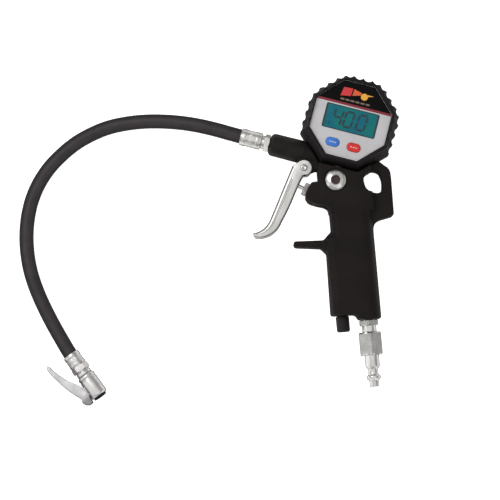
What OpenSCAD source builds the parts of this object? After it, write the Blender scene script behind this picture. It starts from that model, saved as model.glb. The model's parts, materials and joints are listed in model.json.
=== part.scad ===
// Pistol-grip tyre inflator with a digital gauge, a trigger, a short rubber hose and a clip-on chuck.
// It lies on its back: +Z is up out of the gauge's face, and -Y runs along the grip to the air plug.

/* [Grip and head] */
// Thickness of the grip and head
grip_t = 28; // [26:0.5:30]
// Width of the grip below the finger rest
grip_w = 40; // [38:0.5:42]
// Wall of the two grip shells
shell_wall = 2.8; // [2.4:0.1:3.2]
// Rake of the head and gauge from the grip, in degrees
head_rake = 19.5; // [19:0.1:20]
// Outside diameter of the outlet arm
arm_d = 18.4; // [18:0.1:19]
// Thickness of the hang loop's plate
loop_t = 15; // [12:0.5:18]

/* [Gauge] */
// Across flats of the rubber boot over its teeth
boot_af = 77; // [76:0.2:78]
// Size of the boot's front against its back
boot_taper = 0.9; // [0.88:0.01:0.94]
// Height of the rubber boot above the table
boot_h = 34.5; // [34:0.1:36]
// Depth of the scallops between the boot's teeth
scallop_depth = 1.9; // [1.4:0.1:2]
// Across flats of the boot's octagonal window
window_af = 61.2; // [60:0.2:62]
// Across flats of the gauge case
case_af = 64; // [63:0.2:64.4]
// Width of the display window
lcd_w = 43.4; // [40:0.2:44]
// Height of the display window
lcd_h = 20; // [18:0.2:20.5]
// Length of an oval button
button_l = 11.2; // [10:0.2:12]
// Width of an oval button
button_w = 7; // [6:0.2:8]

/* [Trigger and valve] */
// Width of the trigger across its two flanges
trigger_w = 18; // [17.6:0.1:18.4]
// Thickness of the trigger's casting
trigger_wall = 1.8; // [1.6:0.1:1.8]
// Diameter of the trigger's pivot pin
pivot_d = 4; // [3.5:0.1:4.5]
// Diameter of the valve stem
stem_d = 3.2; // [3:0.1:3.6]
// Bore of the valve
valve_bore = 9; // [8.6:0.1:9.4]

/* [Hose and chuck] */
// Outside diameter of the rubber hose
hose_d = 11.6; // [11.2:0.1:11.8]
// Outside diameter of the crimped ferrules
ferrule_d = 13.6; // [13.4:0.1:14]
// Outside diameter of the chuck
chuck_d = 14.6; // [14.2:0.1:15]
// Bore of the chuck, which takes a tyre valve
chuck_bore = 8.4; // [8.2:0.1:8.8]

/* [Hidden] */
$fn = 64;
eps = 0.01;
gap = 0.15;                       // clearance between pieces that fit each other
z_mid = grip_t / 2;               // parting plane of the two grip shells
black = [0.09, 0.09, 0.09];
steel = [0.78, 0.78, 0.76];
dark_steel = [0.3, 0.3, 0.3];
brass = [0.75, 0.62, 0.32];

// Places in the plane of the table
gauge_x = 21.8;
gauge_y = 86;
arm_drop = 31.7;                  // from the gauge's centre down to the outlet arm's axis
pivot = [-18.2, 52.8];
valve_face = [-16.4, 35.2];       // centre of the valve boss's end face
valve_dir = 150;                  // the way the stem leaves the boss
trigger_dir = 240;                // the way the trigger hangs from its pivot
inlet_x = 22.4;
stub_x = 1.8;
chuck_at = [-217.6, -77.8, 7.2];
chuck_dir = -59;
chuck_lift = 2.5;                 // the chuck's mouth lies a little higher than its hose end

// Heights in the gauge, above the table
boot_waist = 15;                  // the boot tapers from here to its front
case_z0 = 2.7;
case_z1 = 31;
panel_t = 1.1;
lip_z = case_z1 + panel_t + 0.1;  // underside of the boot's front lip
board_z = 22;
board_t = 1.6;

function polar(r, a) = [r * cos(a), r * sin(a)];
function arc(c, r, a0, a1, n = 8) = [for (i = [0:n]) c + polar(r, a0 + (a1 - a0) * i / n)];

module at_gauge() translate([gauge_x, gauge_y, 0]) rotate(-head_rake) children();
// local X runs out along the arm to the hose, from the foot of the gauge's axis
module at_arm() at_gauge() translate([0, -arm_drop, z_mid]) rotate([0, 0, 180]) rotate([0, 90, 0]) children();
// local Z runs out of the valve boss along the stem
module at_valve() translate([valve_face.x, valve_face.y, z_mid])
    rotate([0, 0, valve_dir]) rotate([0, 90, 0]) children();
// local X runs down the trigger, local Y towards the grip
module at_trigger() translate([pivot.x, pivot.y, z_mid]) rotate(trigger_dir) children();
module at_chuck() translate(chuck_at) rotate([0, -chuck_lift, chuck_dir]) children();
// local Z runs out of the chuck's mouth
module along_chuck(x) at_chuck() translate([x, 0, 0]) rotate([0, 90, 0]) children();
// a cylinder along -Y at x, from y0 down to y1
module down_grip(x, y0, y1, r) translate([x, y0, z_mid]) rotate([90, 0, 0]) cylinder(r = r, h = y0 - y1);
module slab(h, z = z_mid) translate([0, 0, z - h / 2]) linear_extrude(h) children();
module ring(r_out, r_in, h) difference() {
    cylinder(r = r_out, h = h);
    translate([0, 0, -1]) cylinder(r = r_in, h = h + 2);
}
module stadium(l, w) union() {
    square([l - w, w], center = true);
    for (s = [-1, 1]) translate([s * (l - w) / 2, 0]) circle(d = w);
}
module hex(af, h) cylinder(d = af / cos(30), h = h, $fn = 6);
module octagon(af) rotate(22.5) circle(d = af / cos(22.5), $fn = 8);

// Sweep of a round section along points, as one closed polyhedron.
function unit(v) = v / norm(v);
function tangent(p, i) = unit(p[min(i + 1, len(p) - 1)] - p[max(i - 1, 0)]);
function side_of(t) = unit(cross(t, abs(t.z) < 0.9 ? [0, 0, 1] : [1, 0, 0]));
module sweep(p, r, sides = 10) {
    n = len(p);
    points = [for (i = [0:n - 1]) let (t = tangent(p, i), u = side_of(t), v = cross(t, u))
        for (k = [0:sides - 1]) p[i] + r * (cos(360 * k / sides) * u + sin(360 * k / sides) * v)];
    faces = concat(
        [[for (k = [0:sides - 1]) k]],
        [for (i = [0:n - 2], k = [0:sides - 1]) let (a = i * sides + k, b = i * sides + (k + 1) % sides)
            [a, a + sides, b + sides, b]],
        [[for (k = [sides - 1:-1:0]) (n - 1) * sides + k]]);
    polyhedron(points = points, faces = faces, convexity = 10);
}
// Points of a helix about Z
function helix(r, h, turns, per_turn = 12) =
    [for (i = [0:turns * per_turn]) let (a = 360 * i / per_turn)
        [r * cos(a), r * sin(a), h * i / (turns * per_turn)]];
// Smooth curve through a list of points
function spline_at(a, b, c, d, t) =
    0.5 * (2 * b + (c - a) * t + (2 * a - 5 * b + 4 * c - d) * t * t + (3 * b - a - 3 * c + d) * pow(t, 3));
function smooth(p, m) = concat(
    [for (i = [0:len(p) - 2], j = [0:m - 1])
        spline_at(p[max(i - 1, 0)], p[i], p[i + 1], p[min(i + 2, len(p) - 1)], j / m)],
    [p[len(p) - 1]]);

// ---- Outlines of the handle, seen from the front ----
grip_front = -7.4;
grip_rear = grip_front + grip_w + 0.2;
upper_front = -1;
guard = [
    [-5, -3.4], [-8, -6.3], [-30.6, -5.2], [-31.9, -6.4], [-31.8, -8.8], [-30.6, -9.9],
    [-10.6, -12.4], [-6, -17.5]
];
tail_r = 8;

module grip_outline() polygon(concat(
    [[grip_front, -66], [grip_front + 1, -67], [11, -67.3], [13.2, -68.4], [14.6, -71.6]],
    [[31.6, -72.3], [32.5, -71.2]],
    [[grip_rear, -1.4], [grip_rear, 22], [upper_front, 22], [upper_front, 0.4], [-6.1, -6], [-6.2, -16.5]]));
module guard_outline() polygon(concat([[2, 0.4], [upper_front, 0.4]], guard, [[2, -17]]));
module head_outline() polygon([
    [upper_front, 14], [-1.8, 19], [-4.4, 20.9], [-10.9, 22.9], [-15.8, 24.9], [-17.4, 26.4], [-19.25, 30.26],
    [-13.8, 39.7], [-12.8, 40.3], [-8.6, 40.4], [-7.6, 41.4], [-7.6, 50.4],
    [-4, 60], [20, 60], [35, 54], [34, 14]]);
module lug_outline() polygon(concat(
    arc(pivot, 5.2, 150, 300), [[-8.4, 50.4], [-6, 56], [-14, 64], [-22, 60]]));
module loop_outline() polygon(concat(
    [[30, 10], [30, -1.4]], arc([grip_rear + tail_r, -1.4], tail_r, 180, 100, 8),
    [[48.8, 8.3], [50.2, 9.8], [50.7, 39.6]], arc([42.7, 42.2], 7.9, -10, 62, 6), [[40, 55], [28, 58]]));
module hang_hole_outline() polygon(concat(
    arc([35.9, 38], 7.8, 45, 195, 11), arc([36, 35.8], 7.6, 200, 235, 3),
    arc([38.8, 31.4], 3.8, 250, 345, 7), [[43, 34.5], [43, 38.5]]));
boot_r = boot_af / 2 / cos(22.5);
boot_front_h = boot_h - boot_waist;
boot_lean = atan(boot_af / 2 * (1 - boot_taper) / boot_front_h);
module boot_prism(r, n) {
    cylinder(r = r, h = boot_waist, $fn = n);
    translate([0, 0, boot_waist]) cylinder(r1 = r, r2 = r * boot_taper, h = boot_front_h, $fn = n);
}
// cuts that run straight up to the waist and then lean in with the taper
scallop_r = 4.8;
module boot_scallop(d) {
    translate([d, 0, -1]) cylinder(r = scallop_r, h = boot_waist + 2);
    translate([d, 0, boot_waist]) rotate([0, -boot_lean, 0]) translate([0, 0, -2])
        cylinder(r = scallop_r, h = boot_h);
}
module boot_plain_side(d) {
    translate([d, -30, -1]) cube([20, 60, boot_waist + 2]);
    translate([d, -30, boot_waist]) rotate([0, -boot_lean, 0]) cube([20, 60, boot_h]);
}
module boot_solid() difference() {
    intersection() {
        rotate(22.5) boot_prism(boot_r, 8);
        boot_prism(boot_af / 2 + 2.5, 96);
    }
    // four scallops in each of the five upper sides; the three lower sides are plain
    for (side = [0:45:180], k = [-16.875, -5.625, 5.625, 16.875])
        rotate(side + k) boot_scallop(boot_af / 2 - scallop_depth + (abs(k) > 10 ? 6.35 : 5.05));
    for (a = [225, 270, 315]) rotate(a) boot_plain_side(boot_af / 2 - 1.1);
}
module section(x0, x1, y0, y1, r_front, r_rear)
    translate([0, y1, 0]) rotate([90, 0, 0]) linear_extrude(y1 - y0) polygon(concat(
        arc([x0 + r_front, r_front], r_front, 180, 270), arc([x1 - r_rear, r_rear], r_rear, 270, 360),
        arc([x1 - r_rear, grip_t - r_rear], r_rear, 0, 90),
        arc([x0 + r_front, grip_t - r_front], r_front, 90, 180)));
arm_root = 12;                    // from the foot of the gauge's axis, inside the head
arm_joint = 41;                   // where the rubber sleeve starts
arm_end = 58.4;

module handle_solid() {
    intersection() {
        slab(grip_t) grip_outline();
        section(grip_front, grip_rear, -74, -5, 8, 9.5);
    }
    intersection() {
        slab(grip_t) grip_outline();
        section(upper_front - 0.2, grip_rear, -6, 21, 7, 9.5);
    }
    slab(17) guard_outline();
    slab(grip_t) head_outline();
    slab(2 * 6.9) lug_outline();
    slab(loop_t) loop_outline();
    at_arm() translate([0, 0, arm_root]) cylinder(d = arm_d, h = arm_joint - arm_root);
}
module valve_block_solid(grow = 0) {
    at_gauge() translate([0, -41.5 + grow, z_mid]) rotate([90, 0, 0])
        cylinder(r = 8.6 + grow, h = 24 + 2 * grow);
    at_valve() translate([0, 0, -33 - grow]) cylinder(r = 7.2 + grow, h = 30 + 2 * grow);
    translate([9, 16.4, z_mid]) rotate([0, 90, 0]) cylinder(r = 7.4 + grow, h = 20.6 + grow);
}
// the narrow way from under the gauge out to the arm
module at_transfer() at_gauge() translate([-4, -46.5, z_mid])
    rotate([0, 0, 152.8]) rotate([0, 90, 0]) children();
// the exhaust's way down the front of the grip, leaning a little
module at_exhaust() translate([9, 22, z_mid]) rotate([0, 0, -5.3]) rotate([90, 0, 0]) children();
cross_plug_y = -48;               // the cross plug's place, down from the gauge's centre
hollow_rear = 30.2;
screw_at = [[11.1, -58], [12.6, -19], [41, 17], [21, 40]];
module shell_cavity() {
    wall = shell_wall;
    // main hollows of the grip
    intersection() {
        slab(grip_t - 2 * wall) polygon([
            [grip_front + wall, -63.5], [hollow_rear, -63.5], [hollow_rear, 9],
            [upper_front + wall, 9], [upper_front + wall, -14], [grip_front + wall, -17]]);
        union() {
            section(grip_front + wall, hollow_rear, -64, -14.5, 6, 7);
            section(upper_front + wall, hollow_rear, -15, 10, 5, 7);
        }
    }
    valve_block_solid(gap);
    down_grip(inlet_x, 17, 0, 5.2);
    down_grip(inlet_x, -50, -75, 7.6);
    down_grip(stub_x, -60, -70, 4.4);
    at_exhaust() cylinder(r = 3.7, h = 40);
    // bore of the arm, the valve's bore and the cross plug's hole
    at_arm() translate([0, 0, 26.8]) cylinder(r = 5.2, h = 20);
    at_transfer() translate([0, 0, 2]) cylinder(r = 1.8, h = 27);
    at_valve() translate([0, 0, -4]) cylinder(r = 4.7, h = 10);
    at_gauge() translate([0, cross_plug_y, z_mid]) cylinder(r = 5.8, h = 20);
    at_gauge() translate([0, cross_plug_y, grip_t - 1]) cylinder(r = 9, h = 2);
    // the gauge's stem
    at_gauge() translate([0, -36, z_mid]) rotate([90, 0, 0]) cylinder(r = 7.4, h = 6);
    // bosses for the pivot pin
    translate([pivot.x, pivot.y, 0]) cylinder(d = pivot_d + 0.02, h = grip_t);
}
module screw_posts() for (i = [0, 1])
    translate([screw_at[i].x, screw_at[i].y, 1.5]) cylinder(r = 2.9, h = grip_t - 3);
module whole_handle() {
    difference() {
        handle_solid();
        shell_cavity();
        at_gauge() translate([0, 0, -1]) linear_extrude(grip_t + 2) difference() {
            circle(r = 41);
            for (a = [225, 270, 315]) rotate(a) translate([37.7, -30]) square([20, 60]);
        }
        slab(grip_t + 2) hang_hole_outline();
    }
    screw_posts();
}

// how deep a screw's head sits; the loop's plate is thinner than the grip
function screw_seat(p) = p.x > 30 ? 8.5 : 3;

module grip_front_shell() color(black) difference() {
    whole_handle();
    translate([-100, -150, -50]) cube([250, 300, 50 + z_mid]);
    for (p = screw_at) translate([p.x, p.y, z_mid - 1]) cylinder(r = 1.3, h = 6);
}
module grip_rear_shell() color(black) difference() {
    whole_handle();
    translate([-100, -150, z_mid]) cube([250, 300, 50]);
    for (p = screw_at) translate([p.x, p.y, -1]) {
        cylinder(r = 1.55, h = 20);
        cylinder(r = 2.8, h = 1 + screw_seat(p));
    }
}
module shell_screws() color(steel) for (p = screw_at) {
    seat = screw_seat(p);
    translate([p.x, p.y, seat - 1.8]) difference() {
        union() {
            cylinder(r = 2.6, h = 1.8);
            cylinder(r = 1.25, h = 4.8 + z_mid - seat);
        }
        for (a = [0, 90]) rotate(a) translate([-1.5, -0.3, -1]) cube([3, 0.6, 2]);
    }
}
module valve_block() color([0.62, 0.63, 0.65]) difference() {
    valve_block_solid();
    at_valve() translate([0, 0, -30]) cylinder(d = valve_bore, h = 18);
    at_valve() translate([0, 0, -13]) cylinder(r = 2.9, h = 5);
    at_valve() translate([0, 0, -10.5]) cylinder(d = valve_bore, h = 20);
    at_gauge() translate([0, -40, z_mid]) rotate([90, 0, 0]) cylinder(r = 5, h = 5.2);
    at_gauge() translate([0, -40, z_mid]) rotate([90, 0, 0]) cylinder(r = 2, h = 24);
    at_gauge() translate([0, cross_plug_y, z_mid + 5.2]) cylinder(r = 5.3, h = 10);
    at_transfer() translate([0, 0, -3]) cylinder(r = 1.7, h = 20);
    translate([8, 16.4, z_mid]) rotate([0, 90, 0]) cylinder(r = 2.4, h = 16);
    down_grip(inlet_x, 16.4, 0, 5.1);
    at_exhaust() cylinder(r = 3.1, h = 20);
}
module inlet_tube() color(brass) difference() {
    union() {
        down_grip(inlet_x, 14, -56, 5);
        down_grip(inlet_x, -50.2, -71.5, 7.4);
    }
    down_grip(inlet_x, 20, -60, 2.6);
    down_grip(inlet_x, -55, -80, 5.6);
}
module exhaust_tube() color([0.2, 0.2, 0.2]) at_exhaust() difference() {
    translate([0, 0, 8]) cylinder(r = 3, h = 74.5);
    translate([0, 0, 5]) cylinder(r = 1.8, h = 80);
}
module exhaust_silencer() color(black) difference() {
    union() {
        down_grip(stub_x, -61.5, -68, 4.3);
        down_grip(stub_x, -67.4, -79.4, 5.3);
        down_grip(stub_x, -79.3, -80.4, 4.4);
    }
    down_grip(stub_x, -60, -82, 2.2);
}
module block_plug() color(steel) at_gauge() translate([0, cross_plug_y, 0]) difference() {
    union() {
        translate([0, 0, z_mid + 5.4]) cylinder(r = 5.2, h = 8.6);
        translate([0, 0, grip_t - 0.2]) rotate_extrude() polygon(concat(
            [[0, 0], [8.3, 0], [8.3, 0.8]], arc([1.8, -4.7], 8.52, 40, 90, 8), [[0, 3.82]]));
    }
    translate([0, 0, grip_t + 0.8]) hex(5, 4);
}
module block_plug_washer() color(black) at_gauge() translate([0, cross_plug_y, grip_t - 1])
    ring(7.4, 5.5, 0.8);
module knurled(r, h, n, depth) difference() {
    cylinder(r = r, h = h);
    for (k = [0:n - 1]) rotate(360 * k / n) translate([r + depth, 0, -1])
        cylinder(r = 2 * depth, h = h + 2, $fn = 16);
}
module gland_nut() color([0.45, 0.45, 0.44]) at_valve() difference() {
    union() {
        translate([0, 0, gap]) knurled(5.4, 3.8, 24, 0.35);
        translate([0, 0, -5]) cylinder(r = 4.4, h = 5.2);
    }
    translate([0, 0, -6]) cylinder(d = stem_d + 0.1, h = 12);
    translate([0, 0, -6]) cylinder(r = 3, h = 3);
}
module gland_seal() color(black) at_valve() translate([0, 0, -5]) ring(2.9, stem_d / 2 + 0.03, 1.9);
valve_reach = 14.55;              // from the boss's end face out to the stem's tip
module valve_stem() color(steel) at_valve() {
    translate([0, 0, -19]) cylinder(d = stem_d, h = 19 + valve_reach - 0.8);
    translate([0, 0, valve_reach - 0.9]) cylinder(d1 = stem_d, d2 = 1.8, h = 0.9, $fn = 64);
    translate([0, 0, -20.4]) cylinder(r = 2.6, h = 1.5);
}
module valve_poppet() color([0.12, 0.12, 0.13]) at_valve() translate([0, 0, -14.6])
    ring(4.1, stem_d / 2, 2.4);
module valve_spring() color(steel) at_valve() translate([0, 0, -28.3]) sweep(helix(3.4, 7.1, 5, 10), 0.4, 8);
module spring_seat() color([0.62, 0.63, 0.65]) at_valve() translate([0, 0, -30 + eps]) ring(4.45, 1.4, 1.2);
toe = concat(arc([50, -25], 18, 90, 35, 8), arc([48.9, -16.6], 18.2, 16, 90, 10));
module trigger_profile() union() {
    circle(r = 6.3);
    polygon(concat([[-1.4, -6.1], [1.5, -7.6], [5, -8.6]], toe, [[32, 2.6], [15, 1.9], [6.4, 1.9], [0, 5]]));
}
module trigger_lever() color(steel) at_trigger() difference() {
    translate([0, 0, -trigger_w / 2]) linear_extrude(trigger_w) trigger_profile();
    inner = trigger_w - 2 * trigger_wall;
    translate([0, 0, -inner / 2]) linear_extrude(inner) difference() {
        polygon(concat([[-8, -6.7], [50, -5.2]], arc([50, -25], 19.8, 90, 52, 6), [[67, 4], [-8, 10]]));
        polygon([[11.4, -9], [17.4, -9], [17.4, -4.3], [11.4, -4.3]]);
    }
    translate([0, 0, -trigger_w]) cylinder(d = pivot_d + 0.1, h = 2 * trigger_w);
}
module pivot_pin() color(steel) translate([pivot.x, pivot.y, z_mid - trigger_w / 2 - 1.6]) {
    cylinder(d = pivot_d, h = trigger_w + 1.6 + 0.2);
    translate([0, 0, trigger_w + 1.75]) rotate_extrude()
        polygon(concat([[0, 0], [3.2, 0]], arc([0, -3.4], 4.67, 47, 90, 5)));
}
module pivot_clip() color(dark_steel)
    translate([pivot.x, pivot.y, z_mid - trigger_w / 2 - 1.1]) difference() {
    cylinder(r = 3.6, h = 0.9);
    translate([0, 0, -1]) cylinder(d = pivot_d, h = 3);
    translate([-1.2, 0, -1]) cube([2.4, 5, 3]);
}
module transfer_tube() color(brass) at_transfer() difference() {
    translate([0, 0, 1.6]) cylinder(r = 1.65, h = 24.5);
    cylinder(r = 1, h = 30);
}
module outlet_tube() color(brass) difference() {
    at_arm() translate([0, 0, 27]) cylinder(r = 5.1, h = 31);
    at_arm() translate([0, 0, 31]) cylinder(r = 3.6, h = 40);
    at_transfer() cylinder(r = 1.7, h = 30);
}
module arm_sleeve() color(black) at_arm() difference() {
    nose_r = 4;
    straight = arm_end - arm_joint - nose_r;
    translate([0, 0, arm_joint]) rotate_extrude() polygon(concat(
        [[0, 0], [arm_d / 2, 0], [arm_d / 2, straight]],
        arc([arm_d / 2 - nose_r, straight], nose_r, 0, 90, 6), [[0, straight + nose_r]]));
    cylinder(r = 5.2, h = 70);
}
module hose_fitting() color(steel) at_arm() difference() {
    union() {
        translate([0, 0, 46]) cylinder(r = 3.5, h = 12.6);
        translate([0, 0, arm_end + 0.1]) hex(12.4, 4.2);
        translate([0, 0, arm_end + 4.2]) cylinder(r = 5.4, h = 2.4);
        translate([0, 0, arm_end + 6.5]) cylinder(r = 3.3, h = 11);
    }
    translate([0, 0, 40]) cylinder(r = 1.9, h = 50);
}
module inlet_nipple() color(steel) difference() {
    union() {
        down_grip(inlet_x, -60.4, -72.4, 5.5);
        translate([inlet_x, -72.4, z_mid]) rotate([90, 0, 0]) hex(14.4, 4.6);
        down_grip(inlet_x, -76.9, -90, 5.7);
    }
    down_grip(inlet_x, -50, -100, 3);
}
plug_y = -82.2;
module air_plug() color(steel) translate([inlet_x, plug_y, z_mid]) rotate([90, 0, 0]) difference() {
    union() {
        intersection() {
            hex(17.4, 18.4);
            rotate_extrude() polygon([[0, 0], [8.9, 0], [10.2, 1.3], [10.2, 17.1], [8.9, 18.4], [0, 18.4]]);
        }
        rotate_extrude() polygon([
            [0, 18], [5.8, 18], [5.8, 27.6], [4.1, 29.2], [4.1, 33.6], [5.75, 35], [5.75, 37],
            [3.95, 38.6], [3.95, 43.1], [3.35, 43.7], [0, 43.7]]);
    }
    translate([0, 0, -1]) cylinder(r = 5.8, h = 13);
    translate([0, 0, 3]) cylinder(r = 2.7, h = 50);
}
module gauge_boot() color(black) at_gauge() difference() {
    boot_solid();
    translate([0, 0, 2.5]) linear_extrude(lip_z - 2.5) octagon(case_af + 0.2);
    translate([0, 0, -1]) cylinder(r = 27.8, h = 5);
    translate([0, 0, lip_z - 1]) linear_extrude(5) octagon(window_af);
    translate([0, -30, z_mid]) rotate([90, 0, 0]) cylinder(r = 7.3, h = 20);
}
module gauge_case() color([0.16, 0.16, 0.17]) at_gauge() difference() {
    translate([0, 0, case_z0]) linear_extrude(case_z1 - case_z0) octagon(case_af);
    translate([0, 0, case_z0 + 2.2]) linear_extrude(40) octagon(case_af - 5);
    translate([0, 0, 0]) cylinder(r = 24.2, h = 10);
    translate([0, -20, z_mid]) rotate([90, 0, 0]) cylinder(r = 5, h = 20);
    for (a = [60, 240]) rotate(a) translate([25.8, 0, 0]) cylinder(r = 0.9, h = 10);
}
module gauge_stem() color(brass) at_gauge() translate([0, -24, z_mid]) rotate([90, 0, 0]) difference() {
    union() {
        cylinder(r = 4.9, h = 20);
        translate([0, 0, 10.2]) cylinder(r = 6.8, h = 5.4);
    }
    translate([0, 0, -1]) cylinder(r = 1.8, h = 30);
}
module stem_seal() color(black) at_gauge() translate([0, -39.75, z_mid]) rotate([90, 0, 0]) ring(6.9, 5, 1.5);
module pressure_sensor() color([0.7, 0.7, 0.72]) at_gauge()
    translate([0, -14, z_mid]) rotate([90, 0, 0]) cylinder(r = 6.6, h = 9.9);
module circuit_board() color([0.05, 0.3, 0.15]) at_gauge() translate([0, 0, board_z]) difference() {
    cylinder(r = 29.2, h = board_t);
    for (s = [-1, 1]) translate([s * 26.5, 0, -1]) cylinder(r = 1.2, h = 5);
}
button_at = [[-9.7, -20.2], [7.6, -20.5]];
board_top = board_z + board_t;
module button_switches() color([0.75, 0.75, 0.76]) at_gauge() for (p = button_at)
    translate([p.x, p.y, board_top]) {
        translate([-3, -3, 0]) cube([6, 6, 3]);
        cylinder(r = 1.6, h = 4);
    }
module display_module() color([0.05, 0.42, 0.44]) at_gauge()
    translate([-23, -12.2, board_top]) cube([46, 24.4, 7.2]);
lcd_r = 1.4;                      // the display window's corners
module rounded(w, h, r) union() {
    square([w - 2 * r, h], center = true);
    square([w, h - 2 * r], center = true);
    for (x = [-1, 1], y = [-1, 1]) translate([x * (w / 2 - r), y * (h / 2 - r)]) circle(r = r);
}
module display_window() color([0.3, 0.6, 0.62, 0.5]) at_gauge()
    translate([0, 0, case_z1 + 0.1]) linear_extrude(1.3) rounded(lcd_w - 0.1, lcd_h - 0.1, lcd_r);
module face_panel() color([0.86, 0.86, 0.87]) at_gauge() translate([0, 0, case_z1])
    linear_extrude(panel_t) difference() {
    octagon(case_af);
    rounded(lcd_w, lcd_h, lcd_r + 0.05);
    for (p = button_at) translate(p) stadium(button_l + 0.3, button_w + 0.3);
}
module button(p) at_gauge() translate([p.x, p.y, case_z1]) {
    translate([0, 0, -1.4]) linear_extrude(1.3) stadium(button_l + 1.8, button_w + 1.8);
    translate([0, 0, -0.2]) linear_extrude(2.1) stadium(button_l, button_w);
    translate([0, 0, -2.6]) cylinder(r = 1.5, h = 1.4);
}
module blue_button() color([0.2, 0.42, 0.75]) button(button_at[0]);
module red_button() color([0.85, 0.2, 0.17]) button(button_at[1]);
cell_at = [-5, 7];                // the two cells, side by side under the board
module batteries() color([0.35, 0.35, 0.38]) at_gauge() for (y = cell_at)
    translate([-22.3, y, 10.6]) rotate([0, 90, 0]) {
        cylinder(r = 5.2, h = 43.5);
        translate([0, 0, 43.4]) cylinder(r = 1.9, h = 1);
    }
module battery_contacts() color(brass) at_gauge() for (y = cell_at, x = [-23, 22.4])
    translate([x, y - 4, 6.6]) cube([0.6, 8, 8]);
module battery_cover() color([0.14, 0.14, 0.15]) at_gauge() translate([0, 0, 0.8]) difference() {
    union() {
        cylinder(r = 27.5, h = 1.8);
        cylinder(r = 24, h = 3.9);
    }
    for (a = [60, 240]) rotate(a) translate([25.8, 0, -1]) cylinder(r = 0.9, h = 5);
}
module cover_screws() color(steel) at_gauge() for (a = [60, 240]) rotate(a) translate([25.8, 0, 0.1]) {
    cylinder(r = 1.6, h = 0.7);
    cylinder(r = 0.85, h = 4.6);
}

// ---- Hose, chuck and clip ----
hose_start = [-51, 78.1, 14];
hose_route = [
    hose_start, [-59, 81, 14], [-66.6, 83.7, 14], [-75, 86.8, 14], [-87, 91.4, 13.5], [-101, 96, 12.6],
    [-115, 99.5, 11.3], [-130, 102, 9.9], [-144.5, 103.2, 8.6], [-159, 102.9, 7.4], [-173, 101, 6.5],
    [-187, 96.6, 6], [-200, 90.4, 5.9], [-212, 82, 5.9], [-222.6, 72.4, 5.9], [-231.8, 60.5, 5.9],
    [-238.5, 47.4, 5.9], [-242.8, 33.4, 5.9], [-245, 19, 5.9], [-245.3, 4.6, 5.9], [-243.8, -9.8, 5.9],
    [-240.4, -24, 5.9], [-235.5, -38.4, 5.9], [-229.3, -53.4, 6.1], [-222.6, -67.8, 6.5],
    chuck_at, chuck_at + [5.87, -9.77, 0.5]];
module hose() color([0.11, 0.11, 0.11]) sweep(smooth(hose_route, 3), hose_d / 2, 10);
module ferrule(l) difference() {
    union() {
        cylinder(d = ferrule_d, h = l);
        for (z = [0.18, 0.5, 0.82]) translate([0, 0, l * z - 0.8]) cylinder(d = ferrule_d + 0.5, h = 1.6);
    }
    translate([0, 0, -1]) cylinder(d = hose_d + 0.1, h = l + 2);
}
module gun_ferrule() color(steel) at_arm() translate([0, 0, arm_end + 6.7]) ferrule(17);
chuck_ferrule_x = 1.6;            // where the chuck's ferrule starts
module chuck_ferrule() color(steel) along_chuck(chuck_ferrule_x) ferrule(12.4 - chuck_ferrule_x);
module chuck_adapter() color([0.62, 0.61, 0.58]) along_chuck(0) difference() {
    union() {
        translate([0, 0, 4]) cylinder(r = 3.2, h = 10);
        translate([0, 0, 12.5]) hex(13, 5);
        translate([0, 0, 17.4]) cylinder(r = 6.2, h = 4);
        translate([0, 0, 21.3]) cylinder(r = 4.6, h = 5);
    }
    translate([0, 0, 2]) cylinder(r = 1.7, h = 40);
}
clip_pivot = [33.4, -9.4];
module chuck_body() color(steel) at_chuck() difference() {
    union() {
        translate([21.5, 0, 0]) rotate([0, 90, 0]) cylinder(d = chuck_d, h = 20);
        translate([0, 0, -4.1]) linear_extrude(8.2)
            polygon([[29.6, -5], [30, -9.6], [32, -12], [35, -12], [36.8, -9.6], [36.8, -5]]);
    }
    translate([20, 0, 0]) rotate([0, 90, 0]) cylinder(r = 4.7, h = 9);
    translate([20, 0, 0]) rotate([0, 90, 0]) cylinder(r = 3.4, h = 14);
    translate([32, 0, 0]) rotate([0, 90, 0]) cylinder(d = chuck_bore, h = 12);
    translate([39.4, 0, 0]) rotate([0, 90, 0]) cylinder(r = 5.5, h = 5);
    translate([36.6, -9, -1.9]) cube([3.6, 9, 3.8]);
    translate([28, -13, -2.3]) cube([9.6, 6.3, 4.6]);
    translate([clip_pivot.x, clip_pivot.y, -8]) cylinder(r = 1.52, h = 16);
}
module chuck_washer() color(black) along_chuck(39.6) ring(5.4, chuck_bore / 2, 3.4);
module chuck_depressor() color(brass) along_chuck(26.6) difference() {
    union() {
        cylinder(r = 3.3, h = 3.6);
        cylinder(r = 1.2, h = 5.2);
    }
    for (a = [0:90:270]) rotate(a) translate([2.3, 0, -1]) cylinder(r = 0.7, h = 6, $fn = 24);
}
clip_width = 10.4;
module clip_pin() color(dark_steel) at_chuck() translate([clip_pivot.x, clip_pivot.y, -5.9]) {
    cylinder(r = 1.5, h = 11.8);
    for (z = [0, 11.25]) translate([0, 0, z]) cylinder(r = 2.1, h = 0.55);
}
module clip_spring() color(steel) at_chuck()
    translate([clip_pivot.x, clip_pivot.y, -1.65]) sweep(helix(2.1, 3.3, 3, 12), 0.42, 8);
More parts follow.
